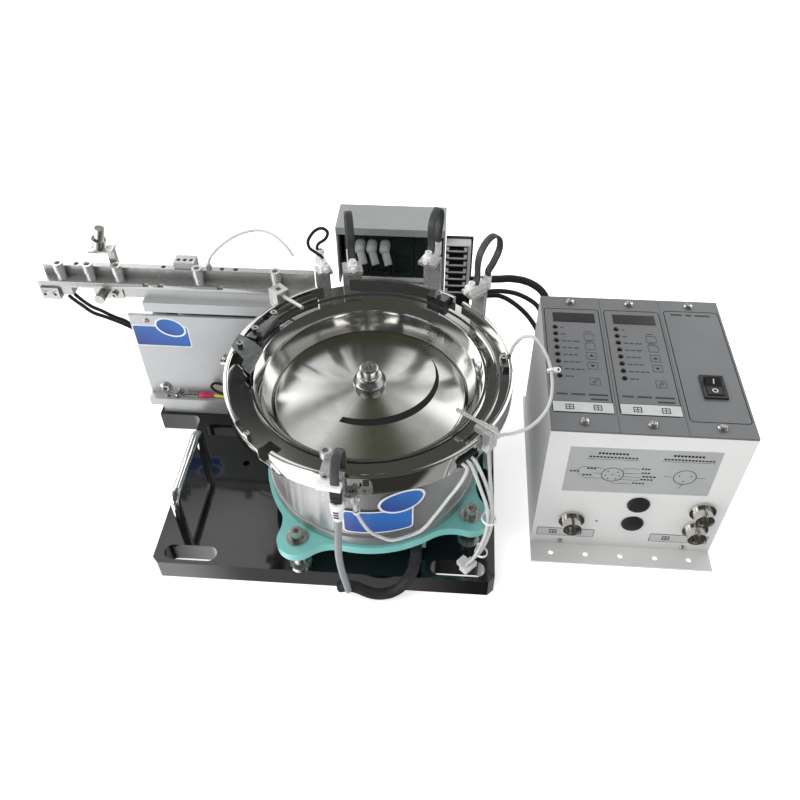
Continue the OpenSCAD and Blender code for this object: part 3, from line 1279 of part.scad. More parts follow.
base_plate();
carry_handles();
drive_feet();
drive_base();
foot_screws();
foot_washers();
drive_casing();
spring_block();
leaf_springs();
lower_spring_bolts();
magnet_core();
magnet_coil();
top_frame();
armature();
upper_spring_bolts();
bowl();
bowl_disc();
centre_nut();
centre_screw();
track_guides();
rim_screws();
tube_port();
front_clamp();
rear_brackets();
sensor_heads();
air_nozzles();
fibre_leads();
lead_sleeves();
linear_base();
linear_riser();
linear_covers();
linear_springs();
linear_magnet();
earth_terminal();
track_carrier();
front_rail();
back_rail();
rail_pillars();
track_stop();
track_sensor();
valve_cover();
valve_stand();
valve_bank();
elbow_fittings();
terminal_block();
controller_case();
controller_panels();
display_windows();
panel_screws();
round_sockets();
blank_caps();
switch_frame();
switch_rocker();
controller_cables();
front_tube();
braided_sleeve();
air_tubes();
rail_tube();
track_cables();
earth_wires();
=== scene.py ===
"""Dresses the vibratory bowl feeder for the Object Factory library.

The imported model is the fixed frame: every piece here is built in that frame,
in millimetres, and put into metres when its mesh is finished.
"""

import json
import logging
import math
from dataclasses import dataclass, field
from enum import Enum
from typing import ClassVar, Iterable, Sequence

import bmesh
import bpy
from mathutils import Matrix, Vector

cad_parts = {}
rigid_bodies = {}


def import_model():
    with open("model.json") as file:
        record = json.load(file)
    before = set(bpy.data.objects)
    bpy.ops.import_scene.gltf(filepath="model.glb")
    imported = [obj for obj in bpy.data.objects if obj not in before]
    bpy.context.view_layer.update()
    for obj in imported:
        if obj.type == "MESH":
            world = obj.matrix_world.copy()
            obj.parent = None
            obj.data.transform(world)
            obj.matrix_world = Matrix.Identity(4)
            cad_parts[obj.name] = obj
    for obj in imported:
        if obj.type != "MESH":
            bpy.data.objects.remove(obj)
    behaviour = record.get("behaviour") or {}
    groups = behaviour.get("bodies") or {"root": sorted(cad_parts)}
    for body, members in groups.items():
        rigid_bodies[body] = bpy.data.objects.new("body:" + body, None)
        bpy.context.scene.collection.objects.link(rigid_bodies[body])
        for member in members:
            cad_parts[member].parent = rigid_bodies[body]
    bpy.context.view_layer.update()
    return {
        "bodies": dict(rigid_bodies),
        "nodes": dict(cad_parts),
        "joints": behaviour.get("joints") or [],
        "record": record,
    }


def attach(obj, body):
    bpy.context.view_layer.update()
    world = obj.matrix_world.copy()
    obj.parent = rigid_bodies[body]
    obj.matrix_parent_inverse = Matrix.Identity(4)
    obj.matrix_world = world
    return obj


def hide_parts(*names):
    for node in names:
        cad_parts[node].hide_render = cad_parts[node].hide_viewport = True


MM = 0.001
LOG = logging.getLogger("bowl_feeder")

# the bowl's rim, in millimetres
RIM_R = 109.0
RIM_TOP = 166.0
# where the front clamp sits on the rim, in degrees
CLAMP_ANGLE = -96.5
# front face of the linear feeder's cover, in millimetres
COVER_FRONT = 88.0
# thickness of printed marks and of stickers, in millimetres
INK = 0.06
STICKER = 0.18
# edges sharper than this stay hard or are rounded, in degrees
SHARP = 32.0

Point = tuple[float, float, float]
Color = tuple[float, float, float]
Route = Sequence[Point]
Outline = Sequence[tuple[float, float]]
Object = bpy.types.Object
Socket = bpy.types.NodeSocket
Tree = bpy.types.NodeTree


# ------------------------------------------------------------------ node trees


class Graph:
    """Adds nodes to one node tree and wires them."""

    def __init__(self, tree: Tree) -> None:
        """Keeps the tree.

        Args:
            tree: the node tree to add to.
        """
        self.tree = tree

    def feed(self, socket: Socket, value: object) -> None:
        """Links a socket to another, or sets its plain value.

        Args:
            socket: the input to feed.
            value: an output socket, or a number, colour or vector.
        """
        if isinstance(value, Socket):
            self.tree.links.new(value, socket)
        else:
            socket.default_value = value

    def add(self, kind: str, inputs: dict | None = None, **settings: object) -> bpy.types.Node:
        """Adds a node.

        Args:
            kind: the node's type name.
            inputs: values or sockets by the input's name or number.
            **settings: attributes of the node itself.

        Returns:
            The new node.
        """
        node = self.tree.nodes.new(kind)
        for name, value in settings.items():
            setattr(node, name, value)
        for name, value in (inputs or {}).items():
            self.feed(node.inputs[name], value)
        return node

    def math(self, operation: str, a: object, b: object = 0.0, clamp: bool = False) -> Socket:
        """Adds a math node and returns its result.

        Args:
            operation: the name of the operation.
            a: first value or socket.
            b: second value or socket.
            clamp: keep the result between 0 and 1.

        Returns:
            The result's socket.
        """
        return self.add("ShaderNodeMath", {0: a, 1: b}, operation=operation, use_clamp=clamp).outputs[0]

    def ramp(
        self, value: object, low: object, high: object, to_low: float = 0.0, to_high: float = 1.0,
        smooth: bool = True,
    ) -> Socket:
        """Maps a range onto another, held at its ends.

        Args:
            value: the socket to map.
            low: where the range starts.
            high: where it ends.
            to_low: the result at the start.
            to_high: the result at the end.
            smooth: ease in and out.

        Returns:
            The result's socket.
        """
        node = self.add(
            "ShaderNodeMapRange",
            {0: value, 1: low, 2: high, 3: to_low, 4: to_high},
            interpolation_type="SMOOTHSTEP" if smooth else "LINEAR",
        )
        return node.outputs[0]

    def blend(self, factor: object, a: object, b: object) -> Socket:
        """Mixes two colours.

        Args:
            factor: 0 for a, 1 for b.
            a: first colour or socket.
            b: second colour or socket.

        Returns:
            The mixed colour's socket.
        """
        return self.add("ShaderNodeMix", {0: factor, 6: a, 7: b}, data_type="RGBA").outputs[2]


    def effect(self, name: str, **inputs: object) -> Socket:
        """Adds one of the shared effects.

        Args:
            name: the effect's name.
            **inputs: values by the input's name.

        Returns:
            The result's socket.
        """
        return self.add("ShaderNodeGroup", inputs, node_tree=Effects.get(name)).outputs[0]

    def place(self) -> Socket:
        """Returns the place on the object."""
        return self.add("ShaderNodeTexCoord").outputs["Object"]

    def noise(self, vector: Socket, **inputs: object) -> Socket:
        """Adds a noise and returns its value.

        Args:
            vector: the place where it is read.
            **inputs: values or sockets by the input's name.

        Returns:
            The value's socket.
        """
        return self.add("ShaderNodeTexNoise", {"Vector": vector, **inputs}).outputs[0]


def rgba(color: Color) -> tuple[float, float, float, float]:
    """Returns a colour with full alpha."""
    return (*color, 1.0)


class Effects:
    """Shared shader groups, each built once."""

    _made: dict[str, Tree] = {}

    @classmethod
    def get(cls, name: str) -> Tree:
        """Returns a group by name, built at its first use.

        Args:
            name: one of the builders' names.

        Returns:
            The shader group.
        """
        if name not in cls._made:
            cls._made[name] = getattr(cls, f"_{name}")()
        return cls._made[name]

    @staticmethod
    def group(name: str, output: str, **inputs: object) -> tuple[Graph, bpy.types.Node, bpy.types.Node]:
        """Starts a shader group with one output.

        Args:
            name: the group's name.
            output: the output's name.
            **inputs: default of each input, a number or a vector.

        Returns:
            A graph on the group, its input node and its output node.
        """
        tree = bpy.data.node_groups.new(name, "ShaderNodeTree")
        for label, default in inputs.items():
            kind = "NodeSocketVector" if isinstance(default, tuple) else "NodeSocketFloat"
            tree.interface.new_socket(label, in_out="INPUT", socket_type=kind).default_value = default
        tree.interface.new_socket(output, in_out="OUTPUT", socket_type="NodeSocketFloat")
        g = Graph(tree)
        return g, g.add("NodeGroupInput"), g.add("NodeGroupOutput")

    @staticmethod
    def _grain() -> Tree:
        """Builds fine uneven grain, which can be stretched into brush lines.

        Returns:
            A group from Size and Stretch to Value.
        """
        g, inp, out = Effects.group("surface grain", "Value", Size=0.001, Stretch=(1, 1, 1))
        scaled = g.add(
            "ShaderNodeVectorMath", {0: g.place(), 1: inp.outputs["Stretch"]}, operation="MULTIPLY",
        )
        scale = g.math("DIVIDE", 1.0, inp.outputs["Size"])
        g.feed(out.inputs[0], g.noise(scaled.outputs[0], Scale=scale, Detail=3.0, Roughness=0.6))
        return g.tree

    @staticmethod
    def _turned() -> Tree:
        """Builds the rings left by a lathe tool around the bowl's axis.

        Returns:
            A group from Pitch to Value.
        """
        g, inp, out = Effects.group("turning marks", "Value", Pitch=0.0005)
        x, y, z = g.add("ShaderNodeSeparateXYZ", {0: g.place()}).outputs
        radius = g.math("SQRT", g.math("ADD", g.math("MULTIPLY", x, x), g.math("MULTIPLY", y, y)))
        along = g.math("ADD", radius, g.math("MULTIPLY", z, 0.6))
        step = g.math("DIVIDE", along, inp.outputs["Pitch"])
        inputs = {"W": step, "Scale": 1.0, "Detail": 4.0, "Roughness": 0.7}
        noise = g.add("ShaderNodeTexNoise", inputs, noise_dimensions="1D")
        g.feed(out.inputs[0], noise.outputs[0])
        return g.tree

    @staticmethod
    def _worn() -> Tree:
        """Builds a mask of outer edges, broken up by noise.

        Returns:
            A group from Width to Mask.
        """
        g, inp, out = Effects.group("worn edges", "Mask", Width=0.001)
        around = g.add("ShaderNodeBevel", {"Radius": inp.outputs["Width"]}, samples=4).outputs[0]
        flat = g.add("ShaderNodeNewGeometry").outputs["Normal"]
        dot = g.add("ShaderNodeVectorMath", {0: around, 1: flat}, operation="DOT_PRODUCT")
        edge = g.ramp(dot.outputs["Value"], 0.98, 0.8)
        broken = g.ramp(g.noise(g.place(), Scale=260.0, Detail=4.0), 0.38, 0.62)
        g.feed(out.inputs[0], g.math("MULTIPLY", g.math("MULTIPLY", edge, broken), 0.5, clamp=True))
        return g.tree

    @staticmethod
    def _smudge() -> Tree:
        """Builds soft patches of handling marks and thin oil.

        Returns:
            A group from Size to Value.
        """
        g, inp, out = Effects.group("handling marks", "Value", Size=0.03)
        scale = g.math("DIVIDE", 1.0, inp.outputs["Size"])
        noise = g.noise(g.place(), Scale=scale, Detail=5.0, Roughness=0.65, Distortion=0.6)
        g.feed(out.inputs[0], g.ramp(noise, 0.34, 0.68))
        return g.tree


# ------------------------------------------------------------------ finishes


class Grain(Enum):
    """How a surface was worked."""

    FINE = "fine"
    TURNED = "turned"
    BRUSHED_X = "brushed along X"
    BRUSHED_Z = "brushed along Z"
    CAST = "cast"


@dataclass(frozen=True)
class Finish:
    """A finish of one material, with its grain, patches and worn edges."""

    name: str
    color: Color
    rough: float
    metal: float = 0.0
    grain: Grain = Grain.FINE
    size: float = 0.5
    depth: float = 0.01
    tint: Color | None = None
    patch: float = 30.0
    rough_spread: float = 0.06
    edge: Color | None = None
    edge_width: float = 0.5
    coat: float = 0.0
    coat_rough: float = 0.08
    anisotropy: float = 0.0
    fade: Color | None = None
    gloss: float = 0.5

    STRETCHES: ClassVar[dict] = {Grain.BRUSHED_X: (0.03, 1, 1), Grain.BRUSHED_Z: (1, 1, 0.03)}

    def material(self) -> bpy.types.Material:
        """Builds the material once and returns it.

        Returns:
            The material of this finish.
        """
        found = bpy.data.materials.get(self.name)
        if found:
            return found
        made = bpy.data.materials.new(self.name)
        made.use_nodes = True
        made.node_tree.nodes.clear()
        g = Graph(made.node_tree)
        end = g.add("ShaderNodeOutputMaterial")
        skin = g.add(
            "ShaderNodeBsdfPrincipled",
            {
                "Metallic": self.metal,
                "Coat Weight": self.coat,
                "Coat Roughness": self.coat_rough,
                "Specular IOR Level": self.gloss,
                "Base Color": self._color(g),
            },
        )
        g.feed(end.inputs["Surface"], skin.outputs[0])
        value = self._grain_value(g)
        half = self.rough_spread / 2
        rough = g.ramp(value, 0.3, 0.7, self.rough - half, self.rough + half, smooth=False)
        marks = g.math("MULTIPLY", g.effect("smudge", Size=self.patch * MM), self.rough_spread)
        g.feed(skin.inputs["Roughness"], g.math("ADD", rough, marks, clamp=True))
        if self.depth:
            bump = g.add("ShaderNodeBump", {"Height": value, "Distance": self.depth * MM, "Strength": 1.0})
            g.feed(skin.inputs["Normal"], bump.outputs[0])
        if self.anisotropy:
            g.feed(skin.inputs["Anisotropic"], self.anisotropy)
            g.feed(skin.inputs["Anisotropic Rotation"], 0.25)
            around = g.add("ShaderNodeTangent", direction_type="RADIAL", axis="Z")
            g.feed(skin.inputs["Tangent"], around.outputs[0])
        return made

    def _grain_value(self, g: Graph) -> Socket:
        """Adds the grain and returns its socket, from 0 to 1."""
        if self.grain is Grain.TURNED:
            return g.effect("turned", Pitch=self.size * MM)
        return g.effect("grain", Size=self.size * MM, Stretch=self.STRETCHES.get(self.grain, (1, 1, 1)))

    def _color(self, g: Graph) -> Socket:
        """Mixes the colour, its tint in patches and its worn edges.

        Args:
            g: the material's graph.

        Returns:
            The colour's socket.
        """
        tint = self.tint or tuple(c * 0.86 for c in self.color)
        marks = g.effect("smudge", Size=self.patch * MM * 1.7)
        color = g.blend(marks, rgba(self.color), rgba(tint))
        if self.fade:
            across = g.add("ShaderNodeSeparateXYZ", {0: g.add("ShaderNodeTexCoord").outputs["Generated"]})
            along = g.math("MULTIPLY", across.outputs[0], 0.55)
            share = g.math("ADD", along, g.math("MULTIPLY", across.outputs[2], 0.45))
            color = g.blend(share, color, rgba(self.fade))
        if self.edge:
            color = g.blend(g.effect("worn", Width=self.edge_width * MM), color, rgba(self.edge))
        return color


class Finishes:
    """All finishes of the feeder, by name; lengths are in millimetres."""

    plate = Finish(
        "gloss black paint", (0.006, 0.006, 0.007), 0.07, size=1.6, depth=0.004, patch=45, rough_spread=0.05,
        edge=(0.25, 0.25, 0.26), edge_width=0.35, coat=0.6, coat_rough=0.04,
    )
    chrome = Finish(
        "chrome plate", (0.82, 0.83, 0.84), 0.07, metal=1.0, size=2.0, depth=0.002, patch=12,
        rough_spread=0.04,
    )
    zinc = Finish("zinc plate", (0.72, 0.72, 0.70), 0.24, metal=1.0, tint=(0.62, 0.61, 0.56), patch=8)
    bright = Finish(
        "bright steel screw", (0.80, 0.80, 0.78), 0.17, metal=1.0, size=0.4, depth=0.006,
        tint=(0.64, 0.63, 0.6), patch=4,
    )
    teal = Finish(
        "teal hammered paint", (0.23, 0.60, 0.57), 0.36, grain=Grain.CAST, size=1.1, depth=0.06,
        tint=(0.21, 0.55, 0.52), patch=22, edge=(0.36, 0.58, 0.53), edge_width=0.8, coat=0.25, coat_rough=0.2,
    )
    casing = Finish(
        "satin aluminium", (0.52, 0.52, 0.52), 0.36, metal=0.85, grain=Grain.BRUSHED_Z,
        tint=(0.46, 0.46, 0.455), patch=35, rough_spread=0.1,
    )
    iron = Finish("painted iron", (0.16, 0.17, 0.17), 0.5, grain=Grain.CAST, size=0.9, depth=0.05, patch=15)
    spring = Finish(
        "blued spring steel", (0.38, 0.38, 0.40), 0.32, metal=1.0, grain=Grain.BRUSHED_Z, size=0.4, patch=12,
    )
    dark_bolt = Finish(
        "black oxide", (0.05, 0.05, 0.052), 0.36, metal=0.7, size=0.4, tint=(0.10, 0.095, 0.09), patch=4,
        edge=(0.35, 0.34, 0.33), edge_width=0.25, gloss=0.28,
    )
    core = Finish("laminated core iron", (0.30, 0.30, 0.31), 0.45, metal=0.9, depth=0.03, patch=10)
    copper = Finish("enamelled copper", (0.62, 0.24, 0.09), 0.28, metal=0.9, depth=0.02, patch=10)
    bowl = Finish(
        "polished steel", (0.66, 0.655, 0.63), 0.06, metal=1.0, grain=Grain.TURNED, size=0.9, depth=0.0,
        tint=(0.60, 0.595, 0.57), patch=28, rough_spread=0.03, anisotropy=0.3,
    )
    disc = Finish(
        "turned steel", (0.68, 0.675, 0.66), 0.17, metal=1.0, grain=Grain.TURNED, size=0.35, depth=0.0006,
        tint=(0.62, 0.615, 0.60), patch=40, rough_spread=0.05, anisotropy=0.85,
    )
    guide = Finish(
        "dark ground steel", (0.24, 0.25, 0.25), 0.2, metal=1.0, grain=Grain.BRUSHED_X, depth=0.006,
        tint=(0.31, 0.32, 0.32), patch=10, edge=(0.78, 0.78, 0.77), edge_width=0.3,
    )
    # black nylon; the same material also makes the dark bars that are painted shade in the strain relief's
    # slits
    black = Finish(
        "black nylon", (0.018, 0.018, 0.02), 0.42, depth=0.02, patch=8, edge=(0.09, 0.09, 0.095),
        edge_width=0.3, gloss=0.28,
    )
    bracket = Finish(
        "bracket steel", (0.66, 0.66, 0.65), 0.22, metal=0.62, grain=Grain.BRUSHED_Z, depth=0.008,
        tint=(0.58, 0.585, 0.58), patch=8, edge=(0.85, 0.85, 0.84), edge_width=0.3,
    )
    white = Finish(
        "white moulded plastic", (0.86, 0.86, 0.85), 0.36, size=0.6, depth=0.012, tint=(0.79, 0.79, 0.78),
        patch=8,
    )
    lead = Finish("black rubber lead", (0.022, 0.022, 0.024), 0.5, depth=0.02, patch=9, gloss=0.28)
    ribbon = Finish("satin ribbon lead", (0.055, 0.058, 0.06), 0.3, tint=(0.05, 0.052, 0.054), patch=9)
    line = Finish(
        "machined aluminium", (0.66, 0.675, 0.685), 0.34, metal=0.6, grain=Grain.BRUSHED_Z,
        tint=(0.61, 0.62, 0.63), patch=50, rough_spread=0.08, edge=(0.9, 0.9, 0.9), edge_width=0.4,
    )
    rail = Finish(
        "ground tool steel", (0.58, 0.58, 0.575), 0.26, metal=0.8, grain=Grain.BRUSHED_X, size=0.25,
        depth=0.002, tint=(0.50, 0.50, 0.495), edge=(0.8, 0.8, 0.78), edge_width=0.35,
    )
    sheet = Finish(
        "galvanised sheet", (0.37, 0.38, 0.38), 0.4, metal=0.3, size=1.2, tint=(0.34, 0.35, 0.35), patch=18,
    )
    stand = Finish(
        "grey enamel", (0.50, 0.51, 0.51), 0.4, size=0.8, depth=0.02, patch=24, edge=(0.72, 0.73, 0.73),
        edge_width=0.4,
    )
    # dark valve body; its green tint is painted shade from the dark space under the valve cover
    valve = Finish(
        "valve body paint", (0.014, 0.024, 0.02), 0.3, size=0.6, depth=0.015, tint=(0.01, 0.016, 0.014),
        patch=8, gloss=0.28,
    )
    fitting = Finish("grey fitting plastic", (0.34, 0.35, 0.36), 0.35, patch=5)
    case = Finish(
        "white powder coat", (0.68, 0.68, 0.675), 0.5, grain=Grain.CAST, size=0.55, depth=0.02,
        tint=(0.645, 0.645, 0.64), patch=60, edge=(0.9, 0.9, 0.9), edge_width=0.4,
    )
    panel = Finish(
        "grey printed foil", (0.135, 0.14, 0.145), 0.42, size=0.45, depth=0.006, tint=(0.125, 0.13, 0.135),
        patch=40, coat=0.1, coat_rough=0.3,
    )
    window = Finish(
        "dark display window", (0.008, 0.005, 0.006), 0.12, size=0.8, depth=0.0, patch=10, gloss=0.28,
    )
    nickel = Finish(
        "nickel plate", (0.74, 0.72, 0.68), 0.18, metal=1.0, depth=0.006, tint=(0.6, 0.585, 0.55), patch=6,
    )
    grey_tube = Finish("grey cable jacket", (0.27, 0.28, 0.29), 0.42, size=0.6, depth=0.015, patch=14)
    braid = Finish(
        "black braid", (0.03, 0.03, 0.032), 0.46, size=0.4, depth=0.03, tint=(0.055, 0.055, 0.06), patch=6,
        gloss=0.28,
    )
    clear_tube = Finish(
        "clear white tube", (0.64, 0.65, 0.65), 0.22, size=0.6, depth=0.006, tint=(0.54, 0.55, 0.55),
        patch=12, coat=0.3,
    )
    yellow = Finish("yellow insulation", (0.80, 0.66, 0.04), 0.38, patch=7)
    label_blue = Finish(
        "blue label", (0.030, 0.040, 0.25), 0.3, depth=0.0, tint=(0.028, 0.045, 0.28), patch=18, coat=0.3,
        fade=(0.02, 0.20, 0.62),
    )
    label_white = Finish("white label edge", (0.88, 0.89, 0.90), 0.32, depth=0.0, patch=15)
    label_silver = Finish(
        "silver label", (0.40, 0.41, 0.41), 0.4, depth=0.0, tint=(0.36, 0.37, 0.37), patch=25,
    )
    label_grey = Finish("pale grey label", (0.52, 0.53, 0.53), 0.42, depth=0.0, patch=20)
    # black print; the same material also makes painted shade: the sheet in the disc's groove and the disc in
    # the front pin hole
    ink = Finish("black print", (0.012, 0.012, 0.013), 0.5, depth=0.0, patch=10, gloss=0.2)
    ink_grey = Finish("grey print", (0.045, 0.047, 0.05), 0.5, depth=0.0, patch=10, gloss=0.2)
    # red heat shrink; also the solid copy that is the sleeve's painted reflection
    magenta = Finish("red heat shrink", (0.62, 0.03, 0.12), 0.36, size=0.4, patch=4)


NODE_FINISH: dict[str, Finish] = {
    node: finish
    for finish, nodes in (
        (Finishes.plate, "base_plate"),
        (Finishes.chrome, "carry_handles"),
        (Finishes.zinc, "drive_feet foot_washers earth_terminal track_sensor panel_screws"),
        (Finishes.teal, "drive_base"),
        (Finishes.bright, "foot_screws centre_nut centre_screw rim_screws"),
        (Finishes.casing, "drive_casing"),
        (Finishes.iron, "spring_block top_frame"),
        (Finishes.spring, "leaf_springs linear_springs"),
        (Finishes.dark_bolt, "lower_spring_bolts upper_spring_bolts"),
        (Finishes.core, "magnet_core armature linear_magnet"),
        (Finishes.copper, "magnet_coil"),
        (Finishes.bowl, "bowl"),
        (Finishes.disc, "bowl_disc"),
        (Finishes.guide, "track_guides"),
        (Finishes.black, "tube_port terminal_block blank_caps switch_frame switch_rocker"),
        (Finishes.bracket, "front_clamp rear_brackets air_nozzles rail_pillars"),
        (Finishes.white, "sensor_heads lead_sleeves"),
        (Finishes.line, "linear_base linear_riser linear_covers track_carrier"),
        (Finishes.rail, "front_rail back_rail track_stop"),
        (Finishes.sheet, "valve_cover"),
        (Finishes.stand, "valve_stand"),
        (Finishes.valve, "valve_bank"),
        (Finishes.fitting, "elbow_fittings"),
        (Finishes.case, "controller_case"),
        (Finishes.panel, "controller_panels"),
        (Finishes.window, "display_windows"),
        (Finishes.nickel, "round_sockets"),
        (Finishes.lead, "controller_cables track_cables fibre_leads"),
        (Finishes.grey_tube, "front_tube"),
        (Finishes.braid, "braided_sleeve"),
        (Finishes.clear_tube, "air_tubes rail_tube"),
        (Finishes.yellow, "earth_wires"),
    )
    for node in nodes.split()
}


@dataclass(frozen=True)
class Look:
    """What a piece is shown with: its CAD body, the record's material slot and its finish."""

    body: str
    slot: str
    finish: Finish


# black print; also used for the painted shade in the front pin hole
PRINT_AND_SHADE = Look("base", "black_plastic", Finishes.ink)
FOIL_PRINT = Look("base", "panel_grey", Finishes.ink_grey)
LABEL_EDGE = Look("base", "white_plastic", Finishes.label_white)
CASING_LABEL = Look("base", "casing_aluminium", Finishes.label_blue)
COVER_LABEL = Look("base", "linear_aluminium", Finishes.label_blue)
WHITE_PARTS = Look("bowl_unit", "white_plastic", Finishes.white)
STAND = Look("base", "stand_grey", Finishes.stand)
BLACK_LEAD = Look("base", "lead_black", Finishes.lead)


# ------------------------------------------------------------------ meshes


def turned(angle: float, axis: str = "Z") -> Matrix:
    """Returns a turn about an axis, by degrees."""
    return Matrix.Rotation(math.radians(angle), 4, axis)


def at_rim(angle: float) -> Matrix:
    """Returns the frame on the bowl's rim at an angle: X outwards, Y along the rim, Z up."""
    return turned(angle) @ Matrix.Translation((RIM_R, 0.0, RIM_TOP))


def new_object(name: str, data: bpy.types.ID) -> Object:
    """Returns a new object, linked to the scene.

    Args:
        name: the object's name.
        data: its mesh, curve, lamp or camera.

    Returns:
        The object.
    """
    obj = bpy.data.objects.new(name, data)
    bpy.context.scene.collection.objects.link(obj)
    return obj


def facing(low: Sequence[float], axis: Sequence[float]) -> Matrix:
    """Returns a frame at a point with its Z along an axis.

    Args:
        low: the point, in millimetres.
        axis: the direction of the new Z.

    Returns:
        The frame as a matrix.
    """
    turn = Vector(axis).normalized().to_track_quat("Z", "Y").to_matrix().to_4x4()
    return Matrix.Translation(low) @ turn


def smooth_route(points: Route) -> list[Vector]:
    """Runs a smooth curve through chosen points.

    Args:
        points: the route's own points.

    Returns:
        Points on the curve, ends included.
    """
    steps = 8
    pts = [Vector(p) for p in points]
    out: list[Vector] = []
    for i in range(len(pts) - 1):
        p0, p1, p2, p3 = pts[max(i - 1, 0)], pts[i], pts[i + 1], pts[min(i + 2, len(pts) - 1)]
        for k in range(steps):
            t = k / steps
            bend, twist = 2 * p0 - 5 * p1 + 4 * p2 - p3, 3 * p1 - p0 - 3 * p2 + p3
            out.append(0.5 * (2 * p1 + (p2 - p0) * t + bend * t * t + twist * t**3))
    out.append(pts[-1])
    return out


def settle(mesh: bpy.types.Mesh, angle: float = SHARP) -> None:
    """Smooths a mesh except where its faces meet sharply.

    Args:
        mesh: the mesh to shade.
        angle: edges sharper than this stay hard, in degrees.
    """
    mesh.shade_smooth()
    mesh.set_sharp_from_angle(angle=math.radians(angle))


def show(obj: Object, look: Look, replaces: Iterable[str] = ()) -> None:
    """Gives a finished piece its finish and body.

    Args:
        obj: the piece.
        look: its body, slot and finish.
        replaces: the CAD nodes that it stands for.
    """
    if not obj.data.materials:
        obj.data.materials.append(look.finish.material())
    for node in replaces:
        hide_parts(node)
    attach(obj, look.body)


def bake_modifiers(obj: Object) -> None:
    """Turns an object's modifiers into plain mesh.

    Args:
        obj: the object, linked to the scene.
    """
    graph = bpy.context.evaluated_depsgraph_get()
    mesh = bpy.data.meshes.new_from_object(
        obj.evaluated_get(graph), preserve_all_data_layers=True, depsgraph=graph,
    )
    mesh.name = obj.name
    obj.modifiers.clear()
    obj.data = mesh


def bevel(obj: Object, width: float, angle: float = SHARP) -> None:
    """Rounds an object's edges and applies it.

    Args:
        obj: the object, in metres.
        width: the rounding, in millimetres.
        angle: edges sharper than this are rounded, in degrees.
    """
    mod = obj.modifiers.new("edges", "BEVEL")
    mod.width = width * MM
    mod.segments = 2
    mod.limit_method = "ANGLE"
    mod.angle_limit = math.radians(angle)
    mod.harden_normals = True
    mod.use_clamp_overlap = True
    mod.miter_outer = "MITER_ARC"
    bake_modifiers(obj)


